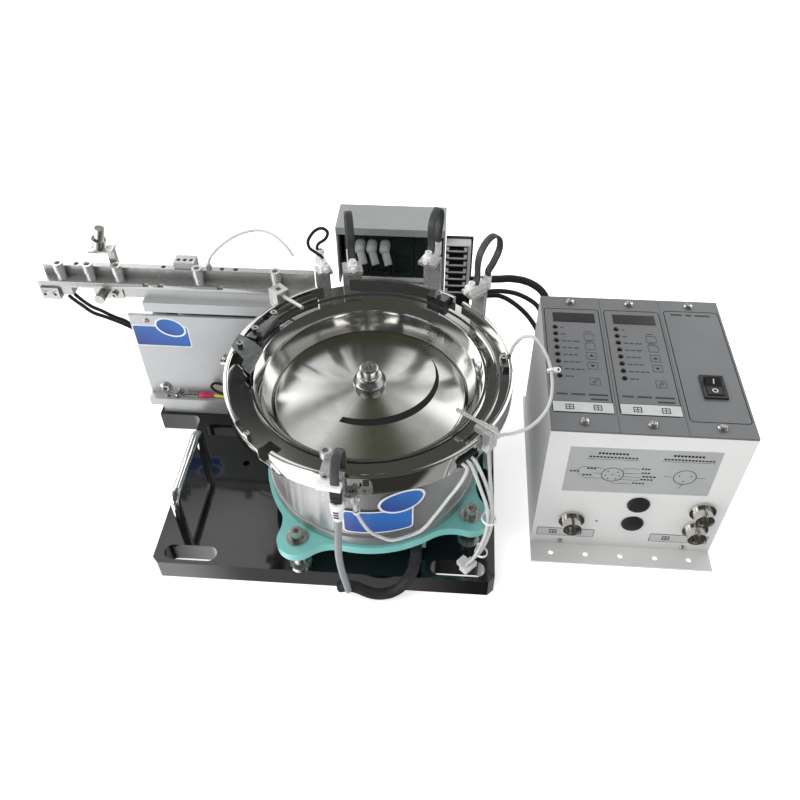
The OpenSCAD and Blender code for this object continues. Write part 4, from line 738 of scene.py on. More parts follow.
class Shape:
    """Collects closed solids in one mesh, in millimetres."""

    def __init__(self) -> None:
        """Starts an empty mesh."""
        self.bm = bmesh.new()

    def loops(self, rings: Sequence[Sequence[Vector]], closed: bool = False) -> "Shape":
        """Joins rings of points into a skin.

        Args:
            rings: rings with the same number of points.
            closed: join the last ring to the first, instead of closing both ends.

        Returns:
            This shape.
        """
        rows = [[self.bm.verts.new(p) for p in ring] for ring in rings]
        pairs = list(zip(rows, rows[1:])) + ([(rows[-1], rows[0])] if closed else [])
        for a, b in pairs:
            n = len(a)
            for k in range(n):
                self.bm.faces.new((a[k], a[(k + 1) % n], b[(k + 1) % n], b[k]))
        if not closed:
            self.bm.faces.new(list(reversed(rows[0])))
            self.bm.faces.new(rows[-1])
        return self

    def prism(self, outline: Outline, z0: float, z1: float, at: Matrix = Matrix()) -> "Shape":
        """Extrudes an outline along Z.

        Args:
            outline: points in the XY plane.
            z0: lower end.
            z1: upper end.
            at: where the solid is put.

        Returns:
            This shape.
        """
        return self.loops([[at @ Vector((x, y, z)) for x, y in outline] for z in (z0, z1)])

    def box(self, low: Sequence[float], high: Sequence[float], at: Matrix = Matrix()) -> "Shape":
        """Adds a box between two corners.

        Args:
            low: lowest corner.
            high: highest corner.
            at: where the solid is put.

        Returns:
            This shape.
        """
        (x0, y0, z0), (x1, y1, z1) = low, high
        return self.prism([(x0, y0), (x1, y0), (x1, y1), (x0, y1)], z0, z1, at)

    def lathe(self, profile: Outline, steps: int = 48, at: Matrix = Matrix()) -> "Shape":
        """Turns a closed profile of radius and height about Z.

        Args:
            profile: radius and height of each point; a radius of 0 lies on the axis.
            steps: stretches round the turn.
            at: where the solid is put.

        Returns:
            This shape.
        """
        rings: list[list] = []
        for r, z in profile:
            if r < 1e-6:
                rings.append([self.bm.verts.new(at @ Vector((0, 0, z)))])
            else:
                turns = [2 * math.pi * k / steps for k in range(steps)]
                points = [at @ Vector((r * math.cos(a), r * math.sin(a), z)) for a in turns]
                rings.append([self.bm.verts.new(p) for p in points])
        open_axis = len(rings[0]) == 1 and len(rings[-1]) == 1
        pairs = list(zip(rings, rings[1:])) + ([] if open_axis else [(rings[-1], rings[0])])
        for a, b in pairs:
            for k in range(steps):
                j = (k + 1) % steps
                if len(a) == 1 and len(b) == 1:
                    continue
                if len(a) == 1:
                    self.bm.faces.new((a[0], b[j], b[k]))
                elif len(b) == 1:
                    self.bm.faces.new((a[k], a[j], b[0]))
                else:
                    self.bm.faces.new((a[k], a[j], b[j], b[k]))
        return self

    def rod(self, a: Point, b: Point, r: float, steps: int = 24, at: Matrix = Matrix()) -> "Shape":
        """Adds a round rod between two points, in the frame of at, and returns this shape."""
        along = Vector(b) - Vector(a)
        return self.lathe(
            [(0, 0), (r, 0), (r, along.length), (0, along.length)], steps, at @ facing(a, along),
        )

    def sweep(
        self, path: Sequence[Vector], section: Outline, at: Matrix = Matrix(),
        first: Sequence[float] | None = None, closed: bool = False,
    ) -> "Shape":
        """Sweeps a section along a path without twisting it.

        Args:
            path: points of the path.
            section: points across it, sideways and upwards.
            at: where the solid is put.
            first: the sideways direction at the start.
            closed: join the end to the start.

        Returns:
            This shape.
        """
        pts = [at @ Vector(p) for p in path]
        n = len(pts)
        side: Vector | None = None
        rings = []
        for i in range(n):
            after = pts[(i + 1) % n] if closed else pts[min(i + 1, n - 1)]
            before = pts[i - 1] if closed or i else pts[0]
            d = (after - before).normalized()
            if side is None:
                side = Vector(first) if first else Vector((0, 0, 1) if abs(d.z) < 0.9 else (1, 0, 0))
            side = (side - d * side.dot(d)).normalized()
            up = d.cross(side)
            rings.append([pts[i] + side * x + up * y for x, y in section])
        return self.loops(rings, closed=closed)

    def tube(
        self, path: Sequence[Vector], r: float, sides: int = 12, at: Matrix = Matrix(), closed: bool = False,
    ) -> "Shape":
        """Sweeps a round section of radius r along a path and returns this shape."""
        turns = [2 * math.pi * (k + 0.5) / sides for k in range(sides)]
        return self.sweep(path, [(r * math.cos(a), r * math.sin(a)) for a in turns], at, closed=closed)

    def mesh(self, name: str) -> Object:
        """Makes an object in metres, with its faces turned outwards.

        Args:
            name: the object's name.

        Returns:
            The object, linked to the scene.
        """
        bmesh.ops.remove_doubles(self.bm, verts=self.bm.verts, dist=1e-4)
        bmesh.ops.recalc_face_normals(self.bm, faces=self.bm.faces)
        bmesh.ops.transform(self.bm, matrix=Matrix.Scale(MM, 4), verts=self.bm.verts)
        data = bpy.data.meshes.new(name)
        self.bm.to_mesh(data)
        self.bm.free()
        return new_object(name, data)

    def piece(
        self,
        name: str,
        look: Look,
        round_edges: float = 0.0,
        angle: float = SHARP,
        replaces: Iterable[str] = (),
    ) -> None:
        """Finishes the shape as a piece of the feeder.

        Args:
            name: the piece's name.
            look: its body, slot and finish.
            round_edges: rounding of its edges, in millimetres.
            angle: edges sharper than this stay hard, in degrees.
            replaces: the CAD nodes that it stands for.
        """
        obj = self.mesh(name)
        settle(obj.data, angle)
        if round_edges:
            bevel(obj, round_edges)
        show(obj, look, replaces)


class Join(Enum):
    """How one mesh is worked with another."""

    CUT = "DIFFERENCE"
    ADD = "UNION"


def work(obj: Object, how: Join, other: Object) -> None:
    """Cuts a closed mesh out of another, or adds it, and removes it.

    Args:
        obj: the mesh that is kept.
        how: whether the other is cut out or added.
        other: the closed mesh that is used up.
    """
    mod = obj.modifiers.new("work", "BOOLEAN")
    mod.operation = how.value
    mod.solver = "EXACT"
    mod.object = other
    bake_modifiers(obj)
    bpy.data.objects.remove(other)


class Dresser:
    """Rounds and finishes copies of the CAD nodes."""

    def __init__(self, frame: dict) -> None:
        """Reads each node's body and slot.
        """
        self.frame = frame
        self.done: set[str] = set(REBUILT)
        record = frame["record"]
        self.body = {n: b for b, nodes in record["behaviour"]["bodies"].items() for n in nodes}
        self.slot = {part["node"]: part["material_slot"] for part in record["subparts"]}

    def dress(self, node: str, round_edges: float) -> None:
        """Copies a CAD node, rounds its edges and lets it stand for the node.

        Args:
            node: the CAD node.
            round_edges: rounding of its edges, in millimetres.
        """
        source = self.frame["nodes"][node]
        bm = bmesh.new()
        bm.from_mesh(source.data)
        bmesh.ops.remove_doubles(bm, verts=bm.verts, dist=2e-6)
        bmesh.ops.dissolve_degenerate(bm, edges=bm.edges, dist=1e-6)
        bmesh.ops.dissolve_limit(
            bm, angle_limit=math.radians(0.6), verts=bm.verts, edges=bm.edges, delimit={"NORMAL"},
        )
        data = bpy.data.meshes.new(f"{node}_look")
        bm.to_mesh(data)
        bm.free()
        obj = new_object(f"{node}_look", data)
        settle(data)
        bevel(obj, round_edges)
        self.done.add(node)
        LOG.info("dressed %s", node)
        show(obj, Look(self.body[node], self.slot[node], NODE_FINISH[node]), [node])

    def rest(self) -> None:
        """Paints every node that nothing stands for yet."""
        for node in sorted(set(self.frame["nodes"]) - self.done):
            materials = self.frame["nodes"][node].data.materials
            materials.clear()
            materials.append(NODE_FINISH[node].material())
            LOG.info("painted %s", node)


# ------------------------------------------------------------------ studio

# what describes a soft panel: angles in degrees, then brightness
PANEL_INPUTS = ("Azimuth", "Elevation", "Width", "Height", "Softness", "Strength")


@dataclass
class Studio:
    """Camera, soft light and pale floor."""

    eye: Point = (58.84, -437.03, 573.92)
    yaw: float = 4.65
    pitch: float = 45.32
    roll: float = -0.616
    lens: float = 35.81
    floor_size: float = 9.0
    room: Color = (0.085, 0.086, 0.088)
    ceiling: Color = (0.085, 0.088, 0.058)
    ground: Color = (0.40, 0.40, 0.40)
    # the soft panels, in the order of PANEL_INPUTS
    panels: tuple[tuple[float, float, float, float, float, float], ...] = (
        (138, 26, 34, 28, 7, 2.8),
        (56, 34, 26, 26, 8, 2.6),
        (98, 12, 26, 10, 6, 1.2),
        (110, 33, 12, 7, 4, 1.2),
        (83, 34, 12, 7, 4, 1.5),
        (140, 62, 50, 14, 14, 0.2),
        (118, 55, 14, 6, 5, 1.1),
        (76, 56, 14, 6, 5, 0.8),
        (-149, 6, 52, 15, 2.5, 2.4),
        (-48, 12, 30, 9, 6, 0.7),
        (-168, -42, 92, 50, 8, 1.3),
        (-62, -40, 44, 60, 12, -0.36),
        (175, 16, 40, 22, 12, 0.5),
        (0, 16, 40, 22, 12, 0.5),
        (110, 43, 7, 5, 3, -0.06),
    )

    def build(self) -> None:
        """Builds the whole studio."""
        self._camera()
        self._world()
        self._lights()
        self._floor()
        scene = bpy.context.scene
        scene.view_settings.view_transform = "Standard"
        scene.view_settings.look = "None"
        scene.view_settings.exposure = 0.0

    def _camera(self) -> None:
        """Aims the camera."""
        yaw, pitch, roll = (math.radians(a) for a in (self.yaw, self.pitch, self.roll))
        ahead = Vector((-math.sin(yaw) * math.cos(pitch), math.cos(yaw) * math.cos(pitch), -math.sin(pitch)))
        right = Vector((math.cos(yaw), math.sin(yaw), 0))
        up = right.cross(ahead)
        x = math.cos(roll) * right + math.sin(roll) * up
        y = -math.sin(roll) * right + math.cos(roll) * up
        data = bpy.data.cameras.new("camera")
        data.lens = self.lens
        data.sensor_width = 36.0
        data.clip_start = 0.02
        data.clip_end = 50.0
        camera = new_object("camera", data)
        turn = Matrix((x, y, -ahead)).transposed().to_4x4()
        camera.matrix_world = Matrix.Translation(Vector(self.eye) * MM) @ turn
        bpy.context.scene.camera = camera

    def _world(self) -> None:
        """Builds the reflected studio: soft panels round a dim room."""
        world = bpy.data.worlds.new("studio")
        bpy.context.scene.world = world
        world.use_nodes = True
        world.node_tree.nodes.clear()
        g = Graph(world.node_tree)
        panel = self._panel_group()
        place = g.add("ShaderNodeTexCoord")
        total: object = 0.0
        for values in self.panels:
            inputs = {"Direction": place.outputs["Generated"], **dict(zip(PANEL_INPUTS, values))}
            total = g.math("ADD", total, g.add("ShaderNodeGroup", inputs, node_tree=panel).outputs[0])
        height = g.add("ShaderNodeSeparateXYZ", {0: place.outputs["Generated"]}).outputs[2]
        room = g.blend(g.ramp(height, 0.68, 0.93), rgba(self.room), rgba(self.ceiling))
        room = g.blend(g.ramp(height, 0.0, -0.05), room, rgba(self.ground))
        color = g.add("ShaderNodeVectorMath", {0: room, 1: total}, operation="ADD")
        seen = g.add("ShaderNodeLightPath")
        direct = g.blend(seen.outputs["Is Camera Ray"], color.outputs[0], (1.0, 1.0, 1.0, 1))
        back = g.add("ShaderNodeBackground", {"Color": direct, "Strength": 1.0})
        end = g.add("ShaderNodeOutputWorld")
        g.feed(end.inputs["Surface"], back.outputs[0])

    @staticmethod
    def _panel_group() -> Tree:
        """Builds the group of one soft panel, as brightness by direction.

        Returns:
            The shader group.
        """
        numbers = dict.fromkeys(PANEL_INPUTS, 0.0)
        g, inp, out = Effects.group("soft panel", "Value", Direction=(0.0, 0.0, 0.0), **numbers)
        x, y, z = g.add("ShaderNodeSeparateXYZ", {0: inp.outputs["Direction"]}).outputs
        degrees = 180.0 / math.pi
        azimuth = g.math("MULTIPLY", g.math("ARCTAN2", y, x), degrees)
        elevation = g.math("MULTIPLY", g.math("ARCSINE", z), degrees)
        away = g.math("MULTIPLY", g.math("SUBTRACT", azimuth, inp.outputs["Azimuth"]), 1.0 / degrees)
        side = g.math("MULTIPLY", g.math("ARCCOSINE", g.math("COSINE", away)), degrees)
        rise = g.math("ABSOLUTE", g.math("SUBTRACT", elevation, inp.outputs["Elevation"]))
        masks = []
        for off, label in ((side, "Width"), (rise, "Height")):
            half = g.math("MULTIPLY", inp.outputs[label], 0.5)
            masks.append(g.ramp(off, half, g.math("ADD", half, inp.outputs["Softness"]), 1.0, 0.0))
        g.feed(out.inputs[0], g.math("MULTIPLY", g.math("MULTIPLY", *masks), inp.outputs["Strength"]))
        return g.tree

    def _lights(self) -> None:
        """Adds soft area lights that the steel doesn't mirror."""
        spots = [
            ("key_light", (-0.9, -0.9, 1.7), 1.4, 24.0),
            ("fill_light", (1.2, -0.7, 1.3), 1.3, 4.5),
            ("rear_light", (0.1, 1.3, 1.5), 1.5, 6.0),
            ("top_light", (0.0, 0.0, 2.2), 1.8, 5.5),
        ]
        for name, place, size, power in spots:
            data = bpy.data.lights.new(name, "AREA")
            data.shape = "DISK"
            data.size = size
            data.energy = power
            lamp = new_object(name, data)
            lamp.matrix_world = facing(place, place)
            lamp.visible_glossy = False

    def _floor(self) -> None:
        """Lays the pale floor under the feet."""
        half = self.floor_size / 2
        data = bpy.data.meshes.new("floor")
        corners = [(-half, -half, 0), (half, -half, 0), (half, half, 0), (-half, half, 0)]
        data.from_pydata(corners, [], [(0, 1, 2, 3)])
        floor = new_object("floor", data)
        made = bpy.data.materials.new("pale floor")
        made.use_nodes = True
        skin = made.node_tree.nodes["Principled BSDF"]
        skin.inputs["Base Color"].default_value = (0.93, 0.93, 0.93, 1)
        skin.inputs["Roughness"].default_value = 0.9
        skin.inputs["Emission Color"].default_value = (1, 1, 1, 1)
        skin.inputs["Emission Strength"].default_value = 0.6
        data.materials.append(made)
        floor.visible_glossy = False


# ------------------------------------------------------------------ cords


@dataclass
class Cord:
    """One cord: its route, size and where it rides."""

    name: str
    node: str
    look: Look
    route: Route
    radius: float
    stiffness: str = "medium"
    lay: str = "hanging"
    wide: float = 1.0
    at: Matrix = field(default_factory=Matrix)
    strands: int = 0

    def build(self) -> None:
        """Builds the cord as one open spline, or as a mesh if it is flat or braided."""
        path = [(self.at @ p) * MM for p in smooth_route(self.route)]
        if self.strands:
            obj = self._braided([p / MM for p in path]).mesh(self.name)
            settle(obj.data, 60)
        elif self.wide > 1.0:
            thin = self.at.to_3x3() @ Vector((1, 0, 0))
            section = [(x * self.radius, y * self.radius * self.wide) for x, y in RIBBON]
            obj = Shape().sweep([p / MM for p in path], section, first=thin).mesh(self.name)
            settle(obj.data, 50)
        else:
            curve = bpy.data.curves.new(self.name, "CURVE")
            curve.dimensions = "3D"
            curve.bevel_depth = self.radius * MM
            curve.bevel_resolution = 4
            curve.use_fill_caps = True
            spline = curve.splines.new("POLY")
            spline.points.add(len(path) - 1)
            for point, place in zip(spline.points, path):
                point.co = (*place, 1.0)
            obj = new_object(self.name, curve)
        show(obj, self.look, [self.node])

    def _braided(self, path: Sequence[Vector]) -> Shape:
        """Builds a core with strands wound round it both ways.

        Args:
            path: the cord's middle line, in millimetres.

        Returns:
            The closed solids.
        """
        shape = Shape().tube(path, self.radius * 0.93, 28)
        middle = path[0]
        side = Vector((0, 0, 1))
        gone = 0.0
        frames = []
        for i, point in enumerate(path):
            gone += (point - middle).length
            middle = point
            ahead = (path[min(i + 1, len(path) - 1)] - path[max(i - 1, 0)]).normalized()
            side = (side - ahead * side.dot(ahead)).normalized()
            frames.append((point, side.copy(), ahead.cross(side), gone))
        for way in (-1, 1):
            for k in range(self.strands):
                start = 2 * math.pi * k / self.strands
                line = []
                for point, u, v, along in frames:
                    a = start + way * along / self.radius * 0.9
                    lift = self.radius * (0.965 + 0.015 * math.sin(self.strands * a * 0.5))
                    line.append(point + (u * math.cos(a) + v * math.sin(a)) * lift)
                shape.tube(line, 0.34, 5)
        return shape


# a flat cord's section: thin along the first direction, rounded at its edges
RIBBON_HALF = [
    (1.0, 0.0), (1.0, 0.55), (0.82, 0.82), (0.45, 0.96), (0.0, 1.0), (-0.45, 0.96), (-0.82, 0.82),
    (-1.0, 0.55),
]
RIBBON = RIBBON_HALF + [(-x, -y) for x, y in RIBBON_HALF]


@dataclass
class Cords:
    """Every cord of the feeder, on the routes of the CAD source."""

    controller: Sequence[Route] = (
        (
            (75.4, 157, 132), (84, 157, 132.6), (94, 157.5, 133.4), (103.4, 158, 133.7),
            (113.3, 158, 134.6), (126, 156, 134), (136.8, 150, 132.3), (144, 144.5, 127),
            (147.5, 138.5, 118), (149, 132, 108.5), (149, 127, 104.4), (149, 122, 104),
        ),
        (
            (75.4, 156, 121), (84, 156.5, 120), (94, 158, 119), (104.7, 160, 118.5), (118.3, 157, 119),
            (130, 150, 118.5), (138.6, 143, 116), (143.5, 138, 109), (147, 133, 97), (149, 128.5, 87),
            (149, 125.5, 84.2), (149, 122, 84),
        ),
        (
            (75.4, 158, 111), (84, 160, 111), (94, 162, 111), (105.4, 163, 110.4), (116.9, 160, 106.2),
            (129, 150, 102), (138, 139.5, 96), (144, 134, 86), (147.5, 130, 74), (149, 127, 66.5),
            (149, 125, 64.2), (149, 122, 64),
        ),
    )
    controller_radius: tuple[float, float, float] = (3.4, 2.2, 2.2)
    front: Route = (
        (-9.7, -119.9, 134.7), (-10.6, -120, 122), (-11.8, -120, 104), (-12.4, -119, 92),
        (-12.5, -117, 77), (-12, -114, 58), (-11.2, -110.5, 41), (-10.4, -107.4, 24),
    )
    sleeve: Route = (
        (-19, -99, 14.5), (-11, -100, 18), (-4, -100, 16), (4, -100, 10.5), (12, -100, 8.5),
        (21, -99.8, 11), (29, -99.2, 18), (35, -96.5, 26), (39.5, -91, 32), (41, -82, 35.5),
        (41, -72, 36), (41, -63, 36),
    )
    air: Sequence[Route] = (
        (
            (73.4, -79.2, 156.5), (77.6, -83.5, 156.4), (82, -86, 147), (87, -85.5, 130),
            (92.3, -84.5, 110), (94, -84, 90), (92.5, -84, 70), (87, -83.5, 45), (82, -82.4, 33),
            (80.6, -82, 25),
        ),
        (
            (76.6, -76.2, 156.5), (80.8, -80.5, 156.4), (86, -83.5, 147), (91, -82.5, 130),
            (95.3, -81.6, 110), (96.8, -81.2, 90), (95.3, -81.2, 70), (90, -80.6, 45),
            (84.6, -79.6, 33), (83.2, -79.2, 25),
        ),
        (
            (90.6, -65.8, 153.7), (91.3, -66.8, 145), (93.3, -69, 128), (96, -74, 108),
            (97.8, -77.4, 90), (97.2, -77.9, 70), (92.5, -77.6, 45), (87.2, -76.8, 33),
            (85.8, -76.4, 25),
        ),
        (
            (1, -111.7, 143.6), (1.7, -111.8, 131.6), (9, -109, 108), (18, -106, 96), (25, -103.5, 90),
            (35.4, -99.7, 90), (46, -96, 94), (55, -93, 108), (64, -90, 125), (69.5, -90.5, 138),
            (73.5, -90.5, 149), (75.5, -87.7, 156.3), (70.3, -82.3, 156.5),
        ),
        (
            (106.5, 19.7, 166.4), (109, 21.5, 174), (115.5, 21, 183), (124, 16.5, 184.5), (133, 5, 176),
            (136, -12, 169), (134, -28, 164), (128, -39, 160), (119, -47, 156.5), (108.5, -51, 154),
            (100.8, -53.5, 154.5), (96.2, -58.2, 156.5), (93.8, -61.5, 157),
        ),
    )
    rail: Route = (
        (-148, 108, 174.5), (-144, 109, 183), (-132, 112, 194), (-118, 114, 202), (-102, 113, 207),
        (-88, 106, 208), (-77, 98, 204), (-70, 93, 197),
    )
    track: Sequence[Route] = (
        (
            (-277, 99.5, 141.6), (-273, 97.5, 139), (-264, 93, 136), (-255, 90, 131), (-244, 91, 125),
            (-233, 92.5, 118), (-227, 96, 110), (-224.5, 104, 98), (-224.5, 112, 80),
        ),
        (
            (-275, 103.5, 144), (-273.5, 103, 140.8), (-266, 99, 137), (-258, 96, 133), (-249, 95, 129),
            (-240, 96, 122), (-232.5, 99, 115), (-229.5, 103.5, 104), (-228.8, 110, 90),
            (-227, 116, 78), (-224.6, 121, 68),
        ),
    )
    earth: Sequence[Route] = (
        (
            (-175.5, 84, 39.5), (-168, 84, 40), (-158, 83, 40.5), (-146, 81, 41), (-134, 77, 40),
            (-122, 68, 38), (-111, 55, 37), (-100, 41, 36.5), (-88, 31, 36), (-78, 27, 36),
            (-71, 27, 36),
        ),
        (
            (-150, 86.6, 52), (-158, 85, 55), (-161, 83, 52), (-156, 81, 48), (-146, 79, 46),
            (-134, 74, 44), (-123, 64, 42), (-112, 50, 41), (-101, 36, 40.5), (-89, 25, 40),
            (-79, 21, 40), (-71, 21, 40),
        ),
    )
    loops: Sequence[Route] = (
        (
            (8, 0, 0.3), (8, 0, 4), (9, 4.5, 9), (10.5, 9, 14), (12, 9, 20), (13.5, 3, 26),
            (15.5, -4, 26), (17.5, -9, 20), (19.3, -7.5, 13), (20.6, -2, 9), (20.8, 0, 6),
            (20.8, 0, 3.2),
        ),
        (
            (8, 0, 0.3), (9.5, 0, 7), (8, 0, 19), (9, 0, 30), (13, 0, 37), (19, 0, 39), (24, 0, 34),
            (25, 0, 25), (23, 0, 14), (21.1, 0, 7), (20.8, 0, 3.2),
        ),
        (
            (8, 0, 0.3), (9.5, 0, 7), (8, 0, 16), (9, 0, 26), (13.5, 0, 32), (19.5, 0, 34),
            (24.5, 0, 29), (25, 0, 21), (22.8, 0, 13), (21.1, 0, 7), (20.8, 0, 3.2),
        ),
        (
            (8, 0, 0.3), (9.5, 0, 7), (9, 0, 18), (11, 0, 28), (17, 0, 36), (24, 0, 38), (30, 0, 33),
            (31, 0, 23), (26, 0, 13), (21.2, 0, 7), (20.8, 0, 3.2),
        ),
    )
    # angle, height and inward reach of each rear bracket
    brackets: ClassVar[tuple] = ((116, 18, 9), (103, 16, 12), (67, 30, 11), (42, 21, 12))
    clamp_loop: Route = (
        (-8, 4, 0.3), (-9, 4, 12), (-6, 4, 21), (1, 4, 24), (7, 4, 21), (11.2, 4, 11), (11.2, 4, 0),
        (11.2, 4, -11.8),
    )
    head_h: float = 6.0
    sleeve_reach: float = 20.8

    def build(self) -> None:
        """Builds every cord."""
        for i, (route, radius) in enumerate(zip(self.controller, self.controller_radius)):
            Cord(f"controller_cable_{i}", "controller_cables", BLACK_LEAD, route, radius).build()
        grey = Look("bowl_unit", "tube_grey", Finishes.grey_tube)
        Cord("front_cable", "front_tube", grey, self.front, 2.7).build()
        braid = Look("base", "sleeve_black", Finishes.braid)
        Cord("braided_cable", "braided_sleeve", braid, self.sleeve, 4.4, lay="loose", strands=12).build()
        clear = Look("bowl_unit", "tube_clear", Finishes.clear_tube)
        for i, route in enumerate(self.air):
            Cord(f"air_tube_{i}", "air_tubes", clear, route, 1.3, "limp").build()
        clear = Look("track_unit", "tube_clear", Finishes.clear_tube)
        Cord("rail_air_tube", "rail_tube", clear, self.rail, 1.1, "limp").build()
        black = Look("track_unit", "lead_black", Finishes.lead)
        for i, route in enumerate(self.track):
            Cord(f"track_cable_{i}", "track_cables", black, route, 1.6, "limp").build()
        for i, (route, finish) in enumerate(zip(self.earth, (Finishes.yellow, Finishes.lead))):
            wire = Look("base", "wire_yellow", finish)
            Cord(f"earth_wire_{i}", "earth_wires", wire, route, 1.3, "limp").build()
        black = Look("bowl_unit", "lead_black", Finishes.lead)
        flat = Look("bowl_unit", "lead_black", Finishes.ribbon)
        for i, (angle, height, reach) in enumerate(self.brackets):
            at = at_rim(angle) @ Matrix.Translation((-reach, 0, height + self.head_h))
            look, radius, wide = (black, 1.3, 1.0) if i == 0 else (flat, 1.0, 3.2)
            Cord(f"sensor_lead_{i}", "fibre_leads", look, self.loops[i], radius, wide=wide, at=at).build()
        clamp = at_rim(CLAMP_ANGLE)
        Cord("front_sensor_lead", "fibre_leads", flat, self.clamp_loop, 1.0, wide=3.2, at=clamp).build()
        LOG.info("cords built")


# ------------------------------------------------------------------ bowl


@dataclass
class Bowl:
    """The bowl, its disc and the nut that holds it."""

    rim_foot: float = 148.0
    track_z: float = 160.0
    inner_track_z: float = 158.5
    frame_top: float = 128.0
    disc_z: float = 134.5
    boss_top: float = 144.5
    disc_top: float = 146.9
    cone_r: float = 10.6
    steps: int = 256
    screws: tuple = ((102, 172), (102.2, 158), (102.2, 145), (102.6, 9), (101.5, 61))
    lug_angle: float = 176.0

    def build(self) -> None:
        """Builds the bowl's pieces."""
        self.bowl()
        self.disc()
        self.nut()

    def bowl(self) -> None:
        """Turns the bowl and cuts its gaps."""
        profile = [
            (4.2, self.frame_top), (74.5, self.frame_top), (92, 145),
            (95, self.rim_foot), (108.3, self.rim_foot), (108.8, 148.2), (RIM_R, 148.7),
            (RIM_R, 165.2), (108.7, 165.8), (108.1, RIM_TOP),
            (106.0, RIM_TOP), (105.6, 165.8), (105.5, 165.4),
            (105.5, self.track_z), (96.5, self.track_z),
            (96.5, self.inner_track_z), (90.5, self.inner_track_z),
            (90.5, 156.5), (89.3, 156.5), (89.3, 159.2), (89.0, 159.5), (87.3, 159.5), (86.6, 159.1),
            (81.5, 153.5), (80.7, 150.5), (77.1, 143.5), (75.9, 139),
            (73.9, self.disc_z), (12, self.disc_z),
            (12, self.boss_top), (4.2, self.boss_top),
        ]
        obj = Shape().lathe(profile, self.steps).mesh("bowl_shell")
        for cut in self._cuts():
            work(obj, Join.CUT, cut.mesh("cutter"))
        lug = Shape().box((108, -4, 156), (116, 4, 159), turned(self.lug_angle)).mesh("lug")
        hole = Shape().rod((112.5, 0, 150), (112.5, 0, 165), 1.7, 20, turned(self.lug_angle))
        work(lug, Join.CUT, hole.mesh("cutter"))
        work(obj, Join.ADD, lug)
        settle(obj.data, 25)
        bevel(obj, 0.25, 28)
        LOG.info("bowl turned")
        show(obj, Look("bowl_unit", "bowl_steel", Finishes.bowl), ["bowl"])

    def _cuts(self) -> list[Shape]:
        """Returns the gaps, notches, seats and holes of the rim, one solid each."""
        cuts = [
            Shape().box((-70, 94, 160.02), (-18, 105.5, 175)),
            Shape().box((102, -6, 163), (122, 6, 183), turned(219)),
            Shape().box((104, -6, 161), (124, 6, 181), turned(228)),
            Shape().box((97, -6, 152), (117, 6, 182), turned(234)),
            Shape().box((103, -2.5, 161), (123, 2.5, 181), turned(9)),
            Shape().box((99, -4.5, 158), (119, 4.5, 178), turned(52)),
            Shape().box((106, -9.5, 152), (119, 9.5, 161), turned(-46)),
            Shape().rod((105.5, 0, 154), (105.5, 0, 174), 1.5, 24, turned(219)),
            Shape().rod((100, 0, 156), (120, 0, 156), 3.2, 32, turned(-85.5)),
        ]
        for r, angle in self.screws:
            cuts.append(Shape().rod((r, 0, 152), (r, 0, 172), 1.7, 20, turned(angle)))
        return cuts

    def disc(self) -> None:
        """Turns the disc, cuts its crescent groove and lays a thin black sheet on its floor as painted shade.
        """
        profile = [
            (4.6, self.boss_top), (12, self.boss_top),
            (70.5, self.disc_z), (73.5, self.disc_z), (73.5, 136.7), (73.2, 136.95),
            (self.cone_r, self.disc_top), (4.6, self.disc_top),
        ]
        obj = Shape().lathe(profile, self.steps).mesh("bowl_cone_disc")
        outer, inner, side = [], [], 72
        for k in range(side + 1):
            a = math.radians(-118 + 178 * k / side)
            d = Vector((math.cos(a), math.sin(a)))
            outer.append(self._reach(d, (-1, 14), 54))
            inner.append(self._reach(d, (-3.2, 19.2), 53.4))
        kept = [(o, i) for o, i in zip(outer, inner) if (o - i).length > 0.05 and o.length > i.length]
        outline = [tuple(o) for o, _ in kept] + [tuple(i) for _, i in reversed(kept)]
        groove = Shape().prism(outline, 120, 160).mesh("groove_cutter")
        work(groove, Join.CUT, self._under_cone(133.55, 146.1).mesh("groove_floor"))
        work(obj, Join.CUT, groove)
        # a thin black sheet on the groove's floor: painted shade standing in for the dark of the groove
        groove_shade = Shape().prism(outline, 120, 160).mesh("disc_inlay")
        work(groove_shade, Join.CUT, self._under_cone(133.57, 146.12).mesh("inlay_floor"))
        above = Shape().lathe([(0, 146.7), (self.cone_r, 146.7), (90, 134.15), (90, 165), (0, 165)], 96)
        work(groove_shade, Join.CUT, above.mesh("inlay_top"))
        settle(groove_shade.data, 20)
        show(groove_shade, Look("bowl_unit", "disc_steel", Finishes.ink))
        settle(obj.data, 20)
        LOG.info("disc turned")
        show(obj, Look("bowl_unit", "disc_steel", Finishes.disc), ["bowl_disc"])

    def _under_cone(self, edge: float, middle: float) -> Shape:
        """Returns all that lies under a cone as one solid.

        Args:
            edge: the cone's height at a radius of 90.
            middle: its height at its flat middle.

        Returns:
            The solid.
        """
        return Shape().lathe([(0, 120), (90, 120), (90, edge), (self.cone_r, middle), (0, middle)], 96)

    @staticmethod
    def _reach(d: Vector, center: Sequence[float], r: float) -> Vector:
        """Returns where a ray from the origin meets a circle.

        Args:
            d: unit direction of the ray.
            center: the circle's centre.
            r: its radius.

        Returns:
            The far meeting point.
        """
        c = Vector(center)
        along = d.dot(c)
        return d * (along + math.sqrt(max(0.0, along * along - c.dot(c) + r * r)))

    def nut(self) -> None:
        """Turns the stepped nut in the middle."""
        z = self.disc_top
        profile = [
            (4.3, z), (9.2, z), (9.6, z + 0.3), (12.4, z + 2.7), (12.7, z + 3.2), (12.7, z + 4.7),
            (12.4, z + 5.2), (9.9, z + 8.2), (9.5, z + 8.6), (7.9, z + 8.9), (7.4, z + 9.3),
            (7.2, z + 9.9), (7.2, z + 16.2), (6.9, z + 16.8), (6.5, z + 17), (6.3, z + 17),
            (6.2, z + 16.8), (6.2, z + 10), (4.3, z + 10),
        ]
        Shape().lathe(profile, 96).piece(
            "centre_nut_body", Look("bowl_unit", "bright_screws", Finishes.bright), angle=28,
            replaces=["centre_nut"],
        )


# ------------------------------------------------------------------ small repeated pieces


